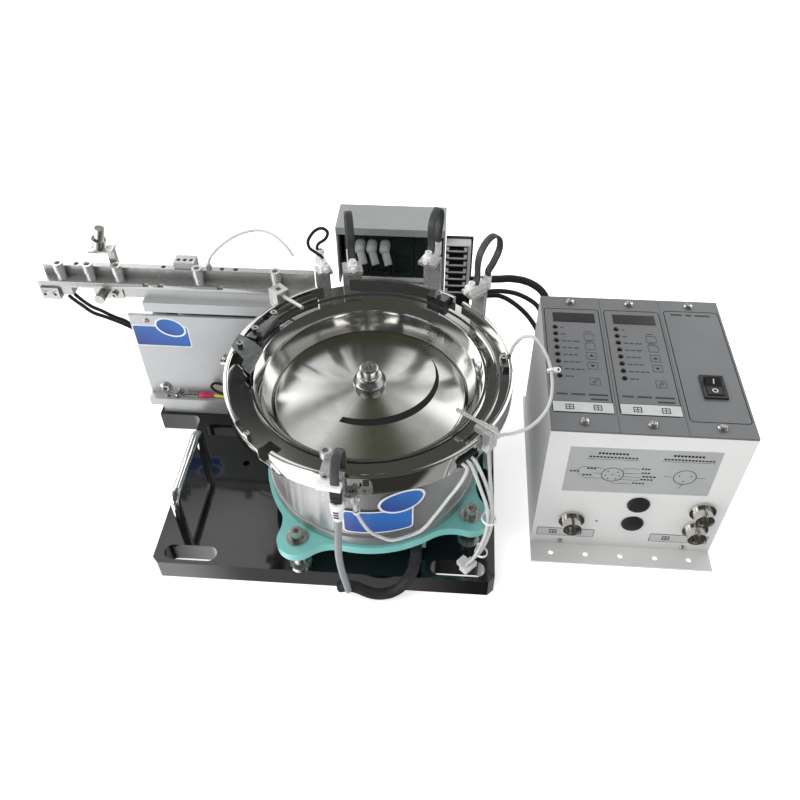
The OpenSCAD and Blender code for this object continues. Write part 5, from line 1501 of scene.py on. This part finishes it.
class Copies:
    """Places copies of a small solid with a node tree."""

    @classmethod
    def tree(cls) -> Tree:
        """Returns the node tree that puts a copy on every point.

        Returns:
            The geometry node group, built on first use.
        """
        found = bpy.data.node_groups.get("place copies")
        if found:
            return found
        tree = bpy.data.node_groups.new("place copies", "GeometryNodeTree")
        tree.interface.new_socket("Geometry", in_out="INPUT", socket_type="NodeSocketGeometry")
        tree.interface.new_socket("Solid", in_out="INPUT", socket_type="NodeSocketObject")
        tree.interface.new_socket("Material", in_out="INPUT", socket_type="NodeSocketMaterial")
        tree.interface.new_socket("Geometry", in_out="OUTPUT", socket_type="NodeSocketGeometry")
        g = Graph(tree)
        inp, out = g.add("NodeGroupInput"), g.add("NodeGroupOutput")
        solid = g.add("GeometryNodeObjectInfo", {"Object": inp.outputs["Solid"]})
        turn = g.add("GeometryNodeInputNamedAttribute", {"Name": "turn"}, data_type="FLOAT_VECTOR")
        grow = g.add("GeometryNodeInputNamedAttribute", {"Name": "grow"}, data_type="FLOAT_VECTOR")
        rotation = g.add("FunctionNodeEulerToRotation", {0: turn.outputs[0]})
        placed = g.add(
            "GeometryNodeInstanceOnPoints",
            {
                "Points": inp.outputs["Geometry"],
                "Instance": solid.outputs["Geometry"],
                "Rotation": rotation.outputs[0],
                "Scale": grow.outputs[0],
            },
        )
        real = g.add("GeometryNodeRealizeInstances", {0: placed.outputs[0]})
        done = g.add(
            "GeometryNodeSetMaterial", {"Geometry": real.outputs[0], "Material": inp.outputs["Material"]},
        )
        g.feed(out.inputs[0], done.outputs[0])
        return tree

    @classmethod
    def place(cls, name: str, solid: Object, places: Sequence[Matrix], look: Look) -> None:
        """Puts a copy of a solid at every place and shows them as one piece.

        Args:
            name: the piece's name.
            solid: the solid that is copied, in metres about the origin; it is removed.
            places: where each copy goes, in millimetres.
            look: its body, slot and finish.
        """
        data = bpy.data.meshes.new(name)
        parts = [m.decompose() for m in places]
        data.from_pydata([p[0] * MM for p in parts], [], [])
        turn = data.attributes.new("turn", "FLOAT_VECTOR", "POINT")
        grow = data.attributes.new("grow", "FLOAT_VECTOR", "POINT")
        for i, (_, rotation, scale) in enumerate(parts):
            turn.data[i].vector = rotation.to_euler()
            grow.data[i].vector = scale
        obj = new_object(name, data)
        mod = obj.modifiers.new("copies", "NODES")
        mod.node_group = cls.tree()
        inputs = {
            item.name: item.identifier
            for item in mod.node_group.interface.items_tree if item.in_out == "INPUT"
        }
        mod[inputs["Solid"]] = solid
        mod[inputs["Material"]] = look.finish.material()
        obj.update_tag()
        bake_modifiers(obj)
        bpy.data.objects.remove(solid)
        for layer in ("turn", "grow"):
            if layer in obj.data.attributes:
                obj.data.attributes.remove(obj.data.attributes[layer])
        show(obj, look)


def stretch(
    x: float, y: float, z: float, wide: float = 1.0, deep: float = 1.0, high: float = 1.0,
    at: Matrix = Matrix(),
) -> Matrix:
    """Returns the place of a unit solid grown to a size.

    Args:
        x: where it goes.
        y: where it goes.
        z: where it goes.
        wide: factor along X.
        deep: factor along Y.
        high: factor along Z.
        at: frame that the place is given in.

    Returns:
        The placement.
    """
    return at @ Matrix.Translation((x, y, z)) @ Matrix.Diagonal((wide, deep, high, 1.0))


def bar(x: float, y: float, z: float, wide: float, deep: float, at: Matrix = Matrix()) -> Matrix:
    """Returns the place of a printed bar on a surface.

    Args:
        x: its middle.
        y: its middle.
        z: height of the surface.
        wide: its size along X.
        deep: its size along Y.
        at: frame that the bar is given in.

    Returns:
        The placement of a unit solid.
    """
    return stretch(x, y, z + INK / 2, wide, deep, INK, at)


def unit_box(name: str) -> Object:
    """Returns a cube of one millimetre about the origin.

    Args:
        name: the object's name.

    Returns:
        The cube.
    """
    return Shape().box((-0.5, -0.5, -0.5), (0.5, 0.5, 0.5)).mesh(name)


def rounded(
    x0: float, y0: float, x1: float, y1: float, r: float, steps: int = 6,
) -> list[tuple[float, float]]:
    """Returns the outline of a rectangle with round corners.

    Args:
        x0: left edge.
        y0: lower edge.
        x1: right edge.
        y1: upper edge.
        r: corner radius.
        steps: stretches in each corner.

    Returns:
        The outline, anticlockwise.
    """
    points = []
    for cx, cy, start in (
        (x1 - r, y0 + r, -90), (x1 - r, y1 - r, 0), (x0 + r, y1 - r, 90), (x0 + r, y0 + r, 180),
    ):
        for k in range(steps + 1):
            a = math.radians(start + 90 * k / steps)
            points.append((cx + r * math.cos(a), cy + r * math.sin(a)))
    return points


def oval(
    x: float, y: float, rx: float, ry: float, lean: float = 0.0, steps: int = 40,
) -> list[tuple[float, float]]:
    """Returns the outline of an oval.

    Args:
        x: middle.
        y: middle.
        rx: half its length.
        ry: half its height.
        lean: its turn, in degrees.
        steps: points round it.

    Returns:
        The outline, anticlockwise.
    """
    c, s = math.cos(math.radians(lean)), math.sin(math.radians(lean))
    turns = [2 * math.pi * k / steps for k in range(steps)]
    points = [(rx * math.cos(a), ry * math.sin(a)) for a in turns]
    return [(x + c * u - s * v, y + s * u + c * v) for u, v in points]


def wall(y: float) -> Matrix:
    """Returns the frame of a wall that faces the front: X to the right, Y up."""
    return Matrix.Translation((0, y, 0)) @ turned(90, "X")


def strip(width: float, high: float) -> list[tuple[float, float]]:
    """Returns the section of a flat line, upwards and across."""
    return [(0, -width / 2), (high, -width / 2), (high, width / 2), (0, width / 2)]


def line_ring(
    shape: Shape, outline: Outline, z: float, width: float, high: float, at: Matrix = Matrix(),
) -> None:
    """Adds a raised line that follows an outline.

    Args:
        shape: the shape it is added to.
        outline: the closed outline.
        z: height of the line's foot.
        width: width of the line.
        high: its height.
        at: frame that the outline is given in.
    """
    up = (at.to_3x3() @ Vector((0, 0, 1))).normalized()
    shape.sweep([(x, y, z) for x, y in outline], strip(width, high), at, first=up, closed=True)


# ------------------------------------------------------------------ controller's face


@dataclass
class Face:
    """Prints, keys and lamps of the controller."""

    left: float = 137.0
    module: float = 50.0
    top: float = 144.0
    wall: float = -36.0
    lamp_rows: tuple = (80.9, 72.5, 64.0, 55.6, 47.2, 38.8, 30.4, 22.0)
    captions: tuple = (3.0, 4.0, 15.0, 14.0, 12.0, 13.0, 16.0, 7.0)
    key_rows: tuple = (69.6, 58.0, 46.4, 34.8, 16.8)

    def build(self) -> None:
        """Builds the face's pieces."""
        self._borders()
        self._lamps()
        self._keys()
        self._words()
        self._strips()
        self._diagram()
        self._switch_marks()

    def _borders(self) -> None:
        """Prints the line round each panel's field."""
        ink = Shape()
        for x0, y0, x1, y1 in (
            (139.2, -17.7, 184.7, 105.4), (189.4, -17.7, 235.3, 105.4), (239.8, -21.5, 284.8, 107.6),
        ):
            line_ring(ink, rounded(x0, y0, x1, y1, 3.0), self.top, 0.75, INK)
        ink.piece("panel_borders", PRINT_AND_SHADE)

    def _lamps(self) -> None:
        """Sets eight dark lamps in a column on two panels."""
        profile = [(0, -0.4), (2.05, -0.4), (2.05, 0.25), (1.8, 0.55), (1.1, 0.8), (0, 0.9)]
        lamp = Shape().lathe(profile, 28).mesh("lamp")
        settle(lamp.data, 40)
        places = [stretch(x, y, self.top + 0.4) for x in (147.1, 197.2) for y in self.lamp_rows]
        Copies.place("panel_lamps", lamp, places, Look("base", "window_black", Finishes.window))

    def _keys(self) -> None:
        """Presses the keys' outlines and arrows into the foil."""
        edge, arrows, top = Shape(), Shape(), self.top
        for x in (173.9, 224.4):
            for y in self.key_rows:
                line_ring(edge, rounded(x - 3.9, y - 3.9, x + 3.9, y + 3.9, 0.8, 4), top, 0.4, 2 * INK)
            for y, tip in zip(self.key_rows[2:4], (1.5, -1.5)):
                foot = y - tip * 0.6
                arrows.prism([(x - 2.1, foot), (x + 2.1, foot), (x, y + tip)], top, top + 0.08)
            for k in (-1, 0, 1):
                low, high = self.key_rows[4] - 2.2 + k * 1.6, self.key_rows[4] + 1.8 + k * 1.2
                arrows.sweep([(x - 2.4, low, top), (x + 2.2, high, top)], strip(0.32, 0.08), first=(0, 0, 1))
        edge.piece("key_outlines", FOIL_PRINT)
        arrows.piece("key_marks", PRINT_AND_SHADE)

    def _words(self) -> None:
        """Stands small bars where captions would be."""
        bars = []
        for i, x in enumerate((151.2, 201.3)):
            for y, length in zip(self.lamp_rows, self.captions):
                at, rest = x, length
                while rest > 0.5:
                    word = min(rest, 4.0 if rest > 6 else rest)
                    bars.append((at + word / 2, y - 0.4, word * 0.88, 1.25))
                    at, rest = at + word + 0.5, rest - word - 0.5
            for y in (76.2, 64.2):
                bars.append((x + 22.6, y - 0.1, 5.6, 0.9))
            for at, word in ((143.2, 8.5), (154.2, 11.0), (167.8, 14.5)):
                bars.append((at + i * self.module + word / 2, 1.9, word, 1.9))
            bars.append((175.4 + i * self.module, -2.9, 13.0, 1.9))
        bars += [(250.0, 103.0, 9.5, 2.0), (260.0, 102.9, 5.0, 2.0), (271.5, 102.7, 12.5, 2.0)]
        places = [bar(x, y, self.top, wide, deep) for x, y, wide, deep in bars]
        Copies.place("panel_captions", unit_box("caption"), places, FOIL_PRINT)

    def _strips(self) -> None:
        """Sticks the pale strips on the panels and the front."""
        plates, frames, marks = Shape(), Shape(), []
        for x in (self.left + 2.5, self.left + self.module + 2.9):
            outline = rounded(x, -17.3, x + 45.6, -6.2, 0.6)
            plates.prism(outline, self.top, self.top + STICKER)
            line_ring(frames, outline, self.top, 0.45, STICKER + INK)
            for at in (12.8, 33.8):
                marks += self._boxed_cross(x + at, -11.9, self.top + STICKER, (2.8, 2.4), (4.2, 4.4))
        front = wall(self.wall)
        for x0, x1, z0, z1 in ((141.0, 188.0, 13.6, 23.6), (234.5, 282.0, 12.6, 22.6)):
            outline = rounded(x0, z0, x1, z1, 0.5)
            plates.prism(outline, 0.0, STICKER, front)
            line_ring(frames, outline, 0.0, 0.4, STICKER + INK, front)
            for share in (0.28, 0.72):
                x, z = x0 + (x1 - x0) * share, (z0 + z1) / 2
                marks += self._boxed_cross(x, z, STICKER, (2.6, 2.2), (4.0, 4.0), front)
        plates.piece("pale_strips", Look("base", "panel_grey", Finishes.label_grey))
        frames.piece("strip_edges", FOIL_PRINT)
        Copies.place("strip_marks", unit_box("mark"), marks, FOIL_PRINT)

    @staticmethod
    def _boxed_cross(
        x: float, y: float, z: float, box: Sequence[float], cross: Sequence[float], at: Matrix = Matrix()
    ) -> list[Matrix]:
        """Returns the bars of a cross in a box.

        Args:
            x: its middle.
            y: its middle.
            z: height of the surface.
            box: half the box's width and height, to the middle of its lines.
            cross: width and height of the cross.
            at: frame that it is given in.

        Returns:
            The placements of the bars.
        """
        half_w, half_h = box
        bars = [(0, side * half_h, 2 * half_w + 0.8, 0.8) for side in (1, -1)]
        bars += [(side * half_w, 0, 0.8, 2 * half_h + 0.4) for side in (-1, 1)]
        bars += [(0, 0, cross[0], 0.7), (0, 0, 0.7, cross[1])]
        return [bar(x + dx, y + dy, z, wide, high, at) for dx, dy, wide, high in bars]

    def _diagram(self) -> None:
        """Sticks the connection diagram on the front."""
        front, z = wall(self.wall), 0.16
        plate = Shape().prism([(154.0, 73.8), (267.0, 76.2), (266.0, 127.6), (153.8, 126.2)], 0.0, z, front)
        plate.piece("diagram_plate", Look("base", "panel_grey", Finishes.label_silver))
        lines = Shape()
        for ring in (oval(189.8, 96.4, 8.3, 7.9), oval(244.4, 97.2, 8.4, 8.2)):
            line_ring(lines, ring, z, 0.55, INK, front)
        up = front.to_3x3() @ Vector((0, 0, 1))
        runs = [
            [(196.6, 100.8), (198.5, 104.4), (209.5, 104.4)], [(198.0, 98.6), (211.0, 98.8)],
            [(198.0, 94.6), (211.5, 94.6)], [(196.2, 91.0), (211.0, 91.0)],
            [(190.6, 88.4), (190.6, 86.2), (206.0, 86.2)],
            [(183.8, 101.6), (178.0, 104.0), (166.0, 104.2), (161.4, 99.4)],
            [(181.6, 97.2), (175.0, 97.4)], [(183.4, 91.4), (170.0, 91.0), (162.4, 96.6)],
            [(228.6, 97.2), (236.0, 97.2)], [(252.8, 97.2), (260.0, 97.2)],
            [(244.4, 89.0), (242.4, 83.0)], [(168.0, 113.6), (206.5, 114.2)],
            [(223.6, 114.6), (263.0, 115.0)],
        ]
        for run in runs:
            lines.sweep([(x, y, z) for x, y in run], strip(0.32, 0.05), front, first=up)
        lines.piece("diagram_lines", PRINT_AND_SHADE)
        dots = [
            (186.0, 99.6), (193.6, 99.6), (184.6, 95.4), (189.8, 96.6), (195.2, 95.4), (187.0, 91.6),
            (193.0, 91.4), (240.0, 98.8), (248.8, 98.8), (244.4, 92.4),
        ]
        words = [
            (186.5, 120.6, 23.0, 2.4), (187.3, 116.4, 37.0, 1.9), (242.0, 121.6, 23.5, 2.4),
            (243.2, 117.2, 38.0, 1.9), (213.6, 104.8, 7.0, 1.8), (214.4, 100.0, 7.0, 1.8),
            (217.6, 95.8, 11.0, 1.8), (216.4, 92.2, 10.0, 1.8), (211.0, 87.4, 10.0, 1.8),
            (173.0, 102.6, 7.5, 1.8), (170.6, 94.8, 7.5, 1.8), (160.6, 98.6, 8.0, 1.8),
        ]
        places = [bar(x, y, z, 1.1, 1.1, front) for x, y in dots]
        for x, y, wide, high in words:
            count = max(2, round(wide / 2.6))
            for k in range(count):
                middle = x + wide * ((k + 0.5) / count - 0.5)
                places.append(bar(middle, y, z, wide / count * 0.72, high * 0.85, front))
        Copies.place("diagram_marks", unit_box("dot"), places, PRINT_AND_SHADE)
        # a black disc in the pin hole: painted shade standing in for the hole's dark inside
        hole = Shape().rod((160.5, self.wall - 0.3, 39.0), (160.5, self.wall + 0.6, 39.0), 1.1, 16)
        hole.piece("front_pin_hole", PRINT_AND_SHADE)

    @staticmethod
    def _switch_marks() -> None:
        """Marks the rocker with a bar and a ring."""
        at = Matrix.Translation((263.5, 15.5, 141.5)) @ turned(9, "X")
        back = at @ Matrix.Translation((0, 4.6, 5.56)) @ turned(11.5, "X")
        near = at @ Matrix.Translation((0, -4.2, 5.48)) @ turned(-11.5, "X")
        marks = Shape().box((-0.35, -2.0, 0.0), (0.35, 2.0, 0.1), back)
        line_ring(marks, oval(0, 0, 1.9, 1.9, steps=28), 0.0, 0.6, 0.1, near)
        marks.piece("switch_marks", Look("rocker", "white_plastic", Finishes.label_white))


# ------------------------------------------------------------------ labels, sleeves, ties


@dataclass
class Trim:
    """Labels, cable sleeves, ties and small fasteners."""

    casing_r: float = 86.45

    def build(self) -> None:
        """Builds all of it."""
        self._casing_label()
        self._cover_label()
        self._sleeves()
        self._ties()
        self._terminals()

    def _wrapped(self, outline: Outline, proud: float) -> Shape:
        """Bends a flat outline round the casing's front.

        Args:
            outline: points of sideways length and height.
            proud: how far it stands off the casing.

        Returns:
            The closed patch.
        """
        rows = 24
        left, right = min(p[0] for p in outline), max(p[0] for p in outline)
        rings = []
        for k in range(rows + 1):
            s = left + (right - left) * (0.001 + 0.998 * k / rows)
            heights = []
            for (x0, z0), (x1, z1) in zip(outline, list(outline[1:]) + [outline[0]]):
                if (x0 - s) * (x1 - s) <= 0 and abs(x1 - x0) > 1e-9:
                    heights.append(z0 + (z1 - z0) * (s - x0) / (x1 - x0))
            low, high = min(heights), max(heights)
            a = math.radians(-90) + s / self.casing_r
            sunk, raised = self.casing_r - 0.2, self.casing_r + proud
            ring = [(sunk, low), (raised, low), (raised, high), (sunk, high)]
            rings.append([Vector((r * math.cos(a), r * math.sin(a), z)) for r, z in ring])
        return Shape().loops(rings)

    def _casing_label(self) -> None:
        """Sticks the blue label on the casing's front."""
        for name, outline, proud, look in (
            ("casing_label_edge", rounded(-14.2, 72.4, 40.2, 98.6, 2.6), 0.12, LABEL_EDGE),
            ("casing_label", rounded(-13.0, 73.6, 39.0, 97.4, 2.0), 0.2, CASING_LABEL),
            ("casing_oval_edge", oval(31.5, 106.6, 18.6, 12.2, 6), 0.24, LABEL_EDGE),
            ("casing_oval", oval(31.5, 106.6, 16.6, 10.4, 6), 0.32, CASING_LABEL),
        ):
            self._wrapped(outline, proud).piece(name, look)

    @staticmethod
    def _cover_label() -> None:
        """Sticks the blue label on the linear feeder's cover."""
        for name, outline, proud, look in (
            ("cover_label_edge", rounded(-222.6, 96.4, -171.4, 120.8, 2.2), 0.12, LABEL_EDGE),
            ("cover_label", rounded(-221.6, 97.6, -172.6, 119.6, 1.6), 0.2, COVER_LABEL),
            ("cover_oval_edge", oval(-187.4, 119.2, 14.2, 10.2, -22), 0.26, LABEL_EDGE),
            ("cover_oval", oval(-187.4, 119.2, 12.4, 8.5, -22), 0.34, COVER_LABEL),
        ):
            Shape().prism(outline, -0.05, proud, wall(COVER_FRONT)).piece(name, look)

    @staticmethod
    def _sleeves() -> None:
        """Builds the front strain relief, the rear sleeves and the tubes' plug."""
        clamp = at_rim(CLAMP_ANGLE)
        relief = clamp @ Matrix.Translation((11.2, 4, -31))
        profile = [(2.75, 0), (3.0, 0), (3.5, 0.6)]
        for k in range(5):
            z, r = 2.0 + k * 2.2, 3.6 + k * 0.27
            profile += [(r, z), (r, z + 1.3), (r - 0.55, z + 1.5), (r - 0.55, z + 2.0)]
        profile += [(4.8, 13.4), (4.9, 14.0), (4.9, 18.0), (4.5, 18.9), (2.75, 18.9)]
        white = Shape().lathe(profile, 40, relief)
        white.box((8.6, -8.5, 1.8), (14.6, 8.2, 6.0), clamp)
        white.box((9.2, -8.5, -1.0), (10.4, -6.8, 1.8), clamp)
        sleeve = [(1.6, 0), (2.7, 0), (3.2, 0.5), (3.3, 1.2), (3.3, 12.2), (2.9, 12.9), (1.6, 12.9)]
        for i, (angle, height, reach) in enumerate(Cords.brackets):
            out, up = Cords.sleeve_reach - reach, height + Cords.head_h - 10
            at = at_rim(angle) @ Matrix.Translation((out, 0, up)) @ turned(12 if i == 0 else 0, "X")
            white.lathe(sleeve, 28, at)
        plug = Matrix.Translation((83.2, -79.2, 0)) @ turned(47)
        for low, high in (
            ((-6.5, -3.6, 22.2), (6.5, 3.6, 28.0)),
            ((-4, 3.4, 22.8), (4, 9, 26.8)),
            ((-4.6, 4.4, 22.8), (-4.0, 8.2, 26.0)),
            ((4.0, 4.4, 22.8), (4.6, 8.2, 26.0)),
        ):
            white.box(low, high, plug)
        white.piece("cable_sleeves", WHITE_PARTS, round_edges=0.18, replaces=["lead_sleeves"])
        dark = Shape()
        # three dark bars on the strain relief's ribs: painted shade standing in for its slits; the two boxes
        # after them are the black connector
        for z in (6.6, 9.4, 12.0):
            dark.box((4.3, -1.9, z), (5.05, 1.9, z + 0.7), relief)
        dark.box((9.4, 0.3, -11.6), (13.4, 7.7, 1.4), clamp)
        dark.box((13.3, 1.6, -9.5), (13.9, 6.4, -6.0), clamp)
        dark.piece("front_connector", Look("bowl_unit", "black_plastic", Finishes.black), round_edges=0.15)

    @staticmethod
    def _ties() -> None:
        """Puts cable ties with eyes on the tubes."""
        white = Shape()
        for place, axis, r, eye in (
            ((94.9, -82.2, 93.0), (0.3, 0.05, 1.0), 5.2, True),
            ((1.6, -111.9, 133.4), (0.06, 0.0, 1.0), 1.9, True),
            ((134.6, -4.0, 173.0), (0.18, -1.0, -0.42), 1.9, True),
            ((92.3, -79.4, 46.0), (0.2, 0.05, 1.0), 4.6, False),
        ):
            at = facing(place, axis)
            white.lathe([(r, -0.9), (r + 0.7, -0.9), (r + 0.7, 0.9), (r, 0.9)], 28, at)
            white.box((r + 0.3, -1.6, -1.5), (r + 3.0, 1.6, 1.5), at)
            if eye:
                turns = [2 * math.pi * k / 24 for k in range(24)]
                ring = [Vector((r + 3.9 + 1.7 * math.cos(a), 0, 1.7 * math.sin(a))) for a in turns]
                white.tube(ring, 0.55, 8, at, closed=True)
        white.box((-3.4, -111.2, 144.2), (4.2, -109.4, 147.2))
        white.piece("cable_ties", WHITE_PARTS, angle=40)

    @staticmethod
    def _terminals() -> None:
        """Adds a heat-shrunk sleeve with a solid copy below it as its painted reflection, cover bolts and the
        terminal block's fins.
        """
        sleeves = Shape()
        for place, axis, profile in (
            (
                (-175.2, 84.0, 39.6),
                (15.0, -0.6, 0.8),
                [(1.35, 0), (1.9, 0), (2.3, 0.5), (2.4, 6), (2.0, 7.4), (1.9, 14.4), (1.6, 15), (1.35, 15)],
            ),
            # a solid copy of the sleeve, lower down and without a wire: a painted reflection of the sleeve
            # above
            (
                (-172.6, 83.4, 32.4),
                (15.0, -0.4, -0.4),
                [(0, 0), (1.5, 0), (2.2, 0.5), (2.3, 6), (1.9, 7.4), (1.8, 13.6), (0, 14)],
            ),
        ):
            sleeves.lathe(profile, 24, facing(place, axis))
        sleeves.piece("heat_shrink_sleeves", Look("base", "wire_yellow", Finishes.magenta), angle=40)
        bolt = Shape()
        bolt.lathe([(1.9, -0.1), (1.9, 2.4), (2.4, 3.0), (3.6, 3.0), (4.1, 2.6), (4.2, 2.0), (4.2, -0.1)], 32)
        bolt.lathe([(0, -0.1), (1.9, -0.1), (1.9, 0.8), (0, 0.8)], 6)
        bolt.lathe([(4.2, -0.1), (5.6, -0.1), (5.8, 0.2), (5.8, 0.9), (5.5, 1.1), (4.2, 1.1)], 36)
        solid = bolt.mesh("cover_bolt")
        settle(solid.data, 35)
        cover = wall(COVER_FRONT)
        spots = ((-207.5, 44.5, 1), (-194, 40.2, 0.5), (-84, 44.5, 1), (-207.5, 126, 0.45), (-84, 126, 0.45))
        places = [stretch(x, z, 0.0, size, size, size, cover) for x, z, size in spots]
        Copies.place("cover_bolts", solid, places, Look("base", "bright_screws", Finishes.bright))
        places = []
        for k in range(7):
            z = 123 + k * 7.5
            places.append(stretch(63.0, 151.4, z - 1.1, 17.0, 1.6, 0.7))
            places += [stretch(x, 150.8, z + 1.4, 2.6, 3.0, 2.0) for x in (54.6, 70.4)]
        Copies.place("terminal_fins", unit_box("fin"), places, STAND)
        frame = Shape().box((53.2, 151.2, 172.0), (75.0, 162.0, 173.0))
        frame.box((72.4, 151.0, 118.5), (75.2, 152.1, 172.0))
        frame.piece("terminal_frame", STAND, round_edges=0.2)


# ------------------------------------------------------------------ the whole feeder


def main() -> None:
    """Builds every sub-assembly."""
    logging.basicConfig(level=logging.INFO, format="%(message)s")
    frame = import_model()
    Studio().build()
    Cords().build()
    dresser = Dresser(frame)
    Bowl().build()
    Face().build()
    Trim().build()
    for size, nodes in DRESSED:
        for node in nodes.split():
            dresser.dress(node, size)
    dresser.rest()


# the nodes that keep their CAD shape with rounded edges, after the rounding in millimetres
DRESSED: tuple[tuple[float, str], ...] = (
    (0.8, "base_plate"),
    (1.0, "drive_base"),
    (0.5, "drive_casing linear_covers"),
    (0.4, "linear_base track_carrier"),
    (0.3, "front_rail back_rail rail_pillars"),
    (0.25, "track_guides"),
    (0.3, "rear_brackets"),
    (0.4, "sensor_heads"),
    (0.35, "front_clamp"),
    (0.25, "air_nozzles"),
    (0.3, "track_stop track_sensor"),
    (0.4, "valve_cover valve_stand valve_bank"),
    (0.3, "terminal_block"),
    (0.5, "controller_case"),
    (0.2, "round_sockets"),
    (0.3, "blank_caps switch_frame switch_rocker"),
    (0.25, "foot_washers"),
    (0.2, "foot_screws"),
    (0.15, "rim_screws"),
    (0.3, "tube_port"),
    (0.2, "centre_screw"),
)

# the nodes that pieces of the scene stand for
REBUILT = set(
    "controller_cables front_tube braided_sleeve air_tubes rail_tube track_cables earth_wires fibre_leads"
    " bowl bowl_disc centre_nut lead_sleeves".split()
)


if __name__ == "__main__":
    main()
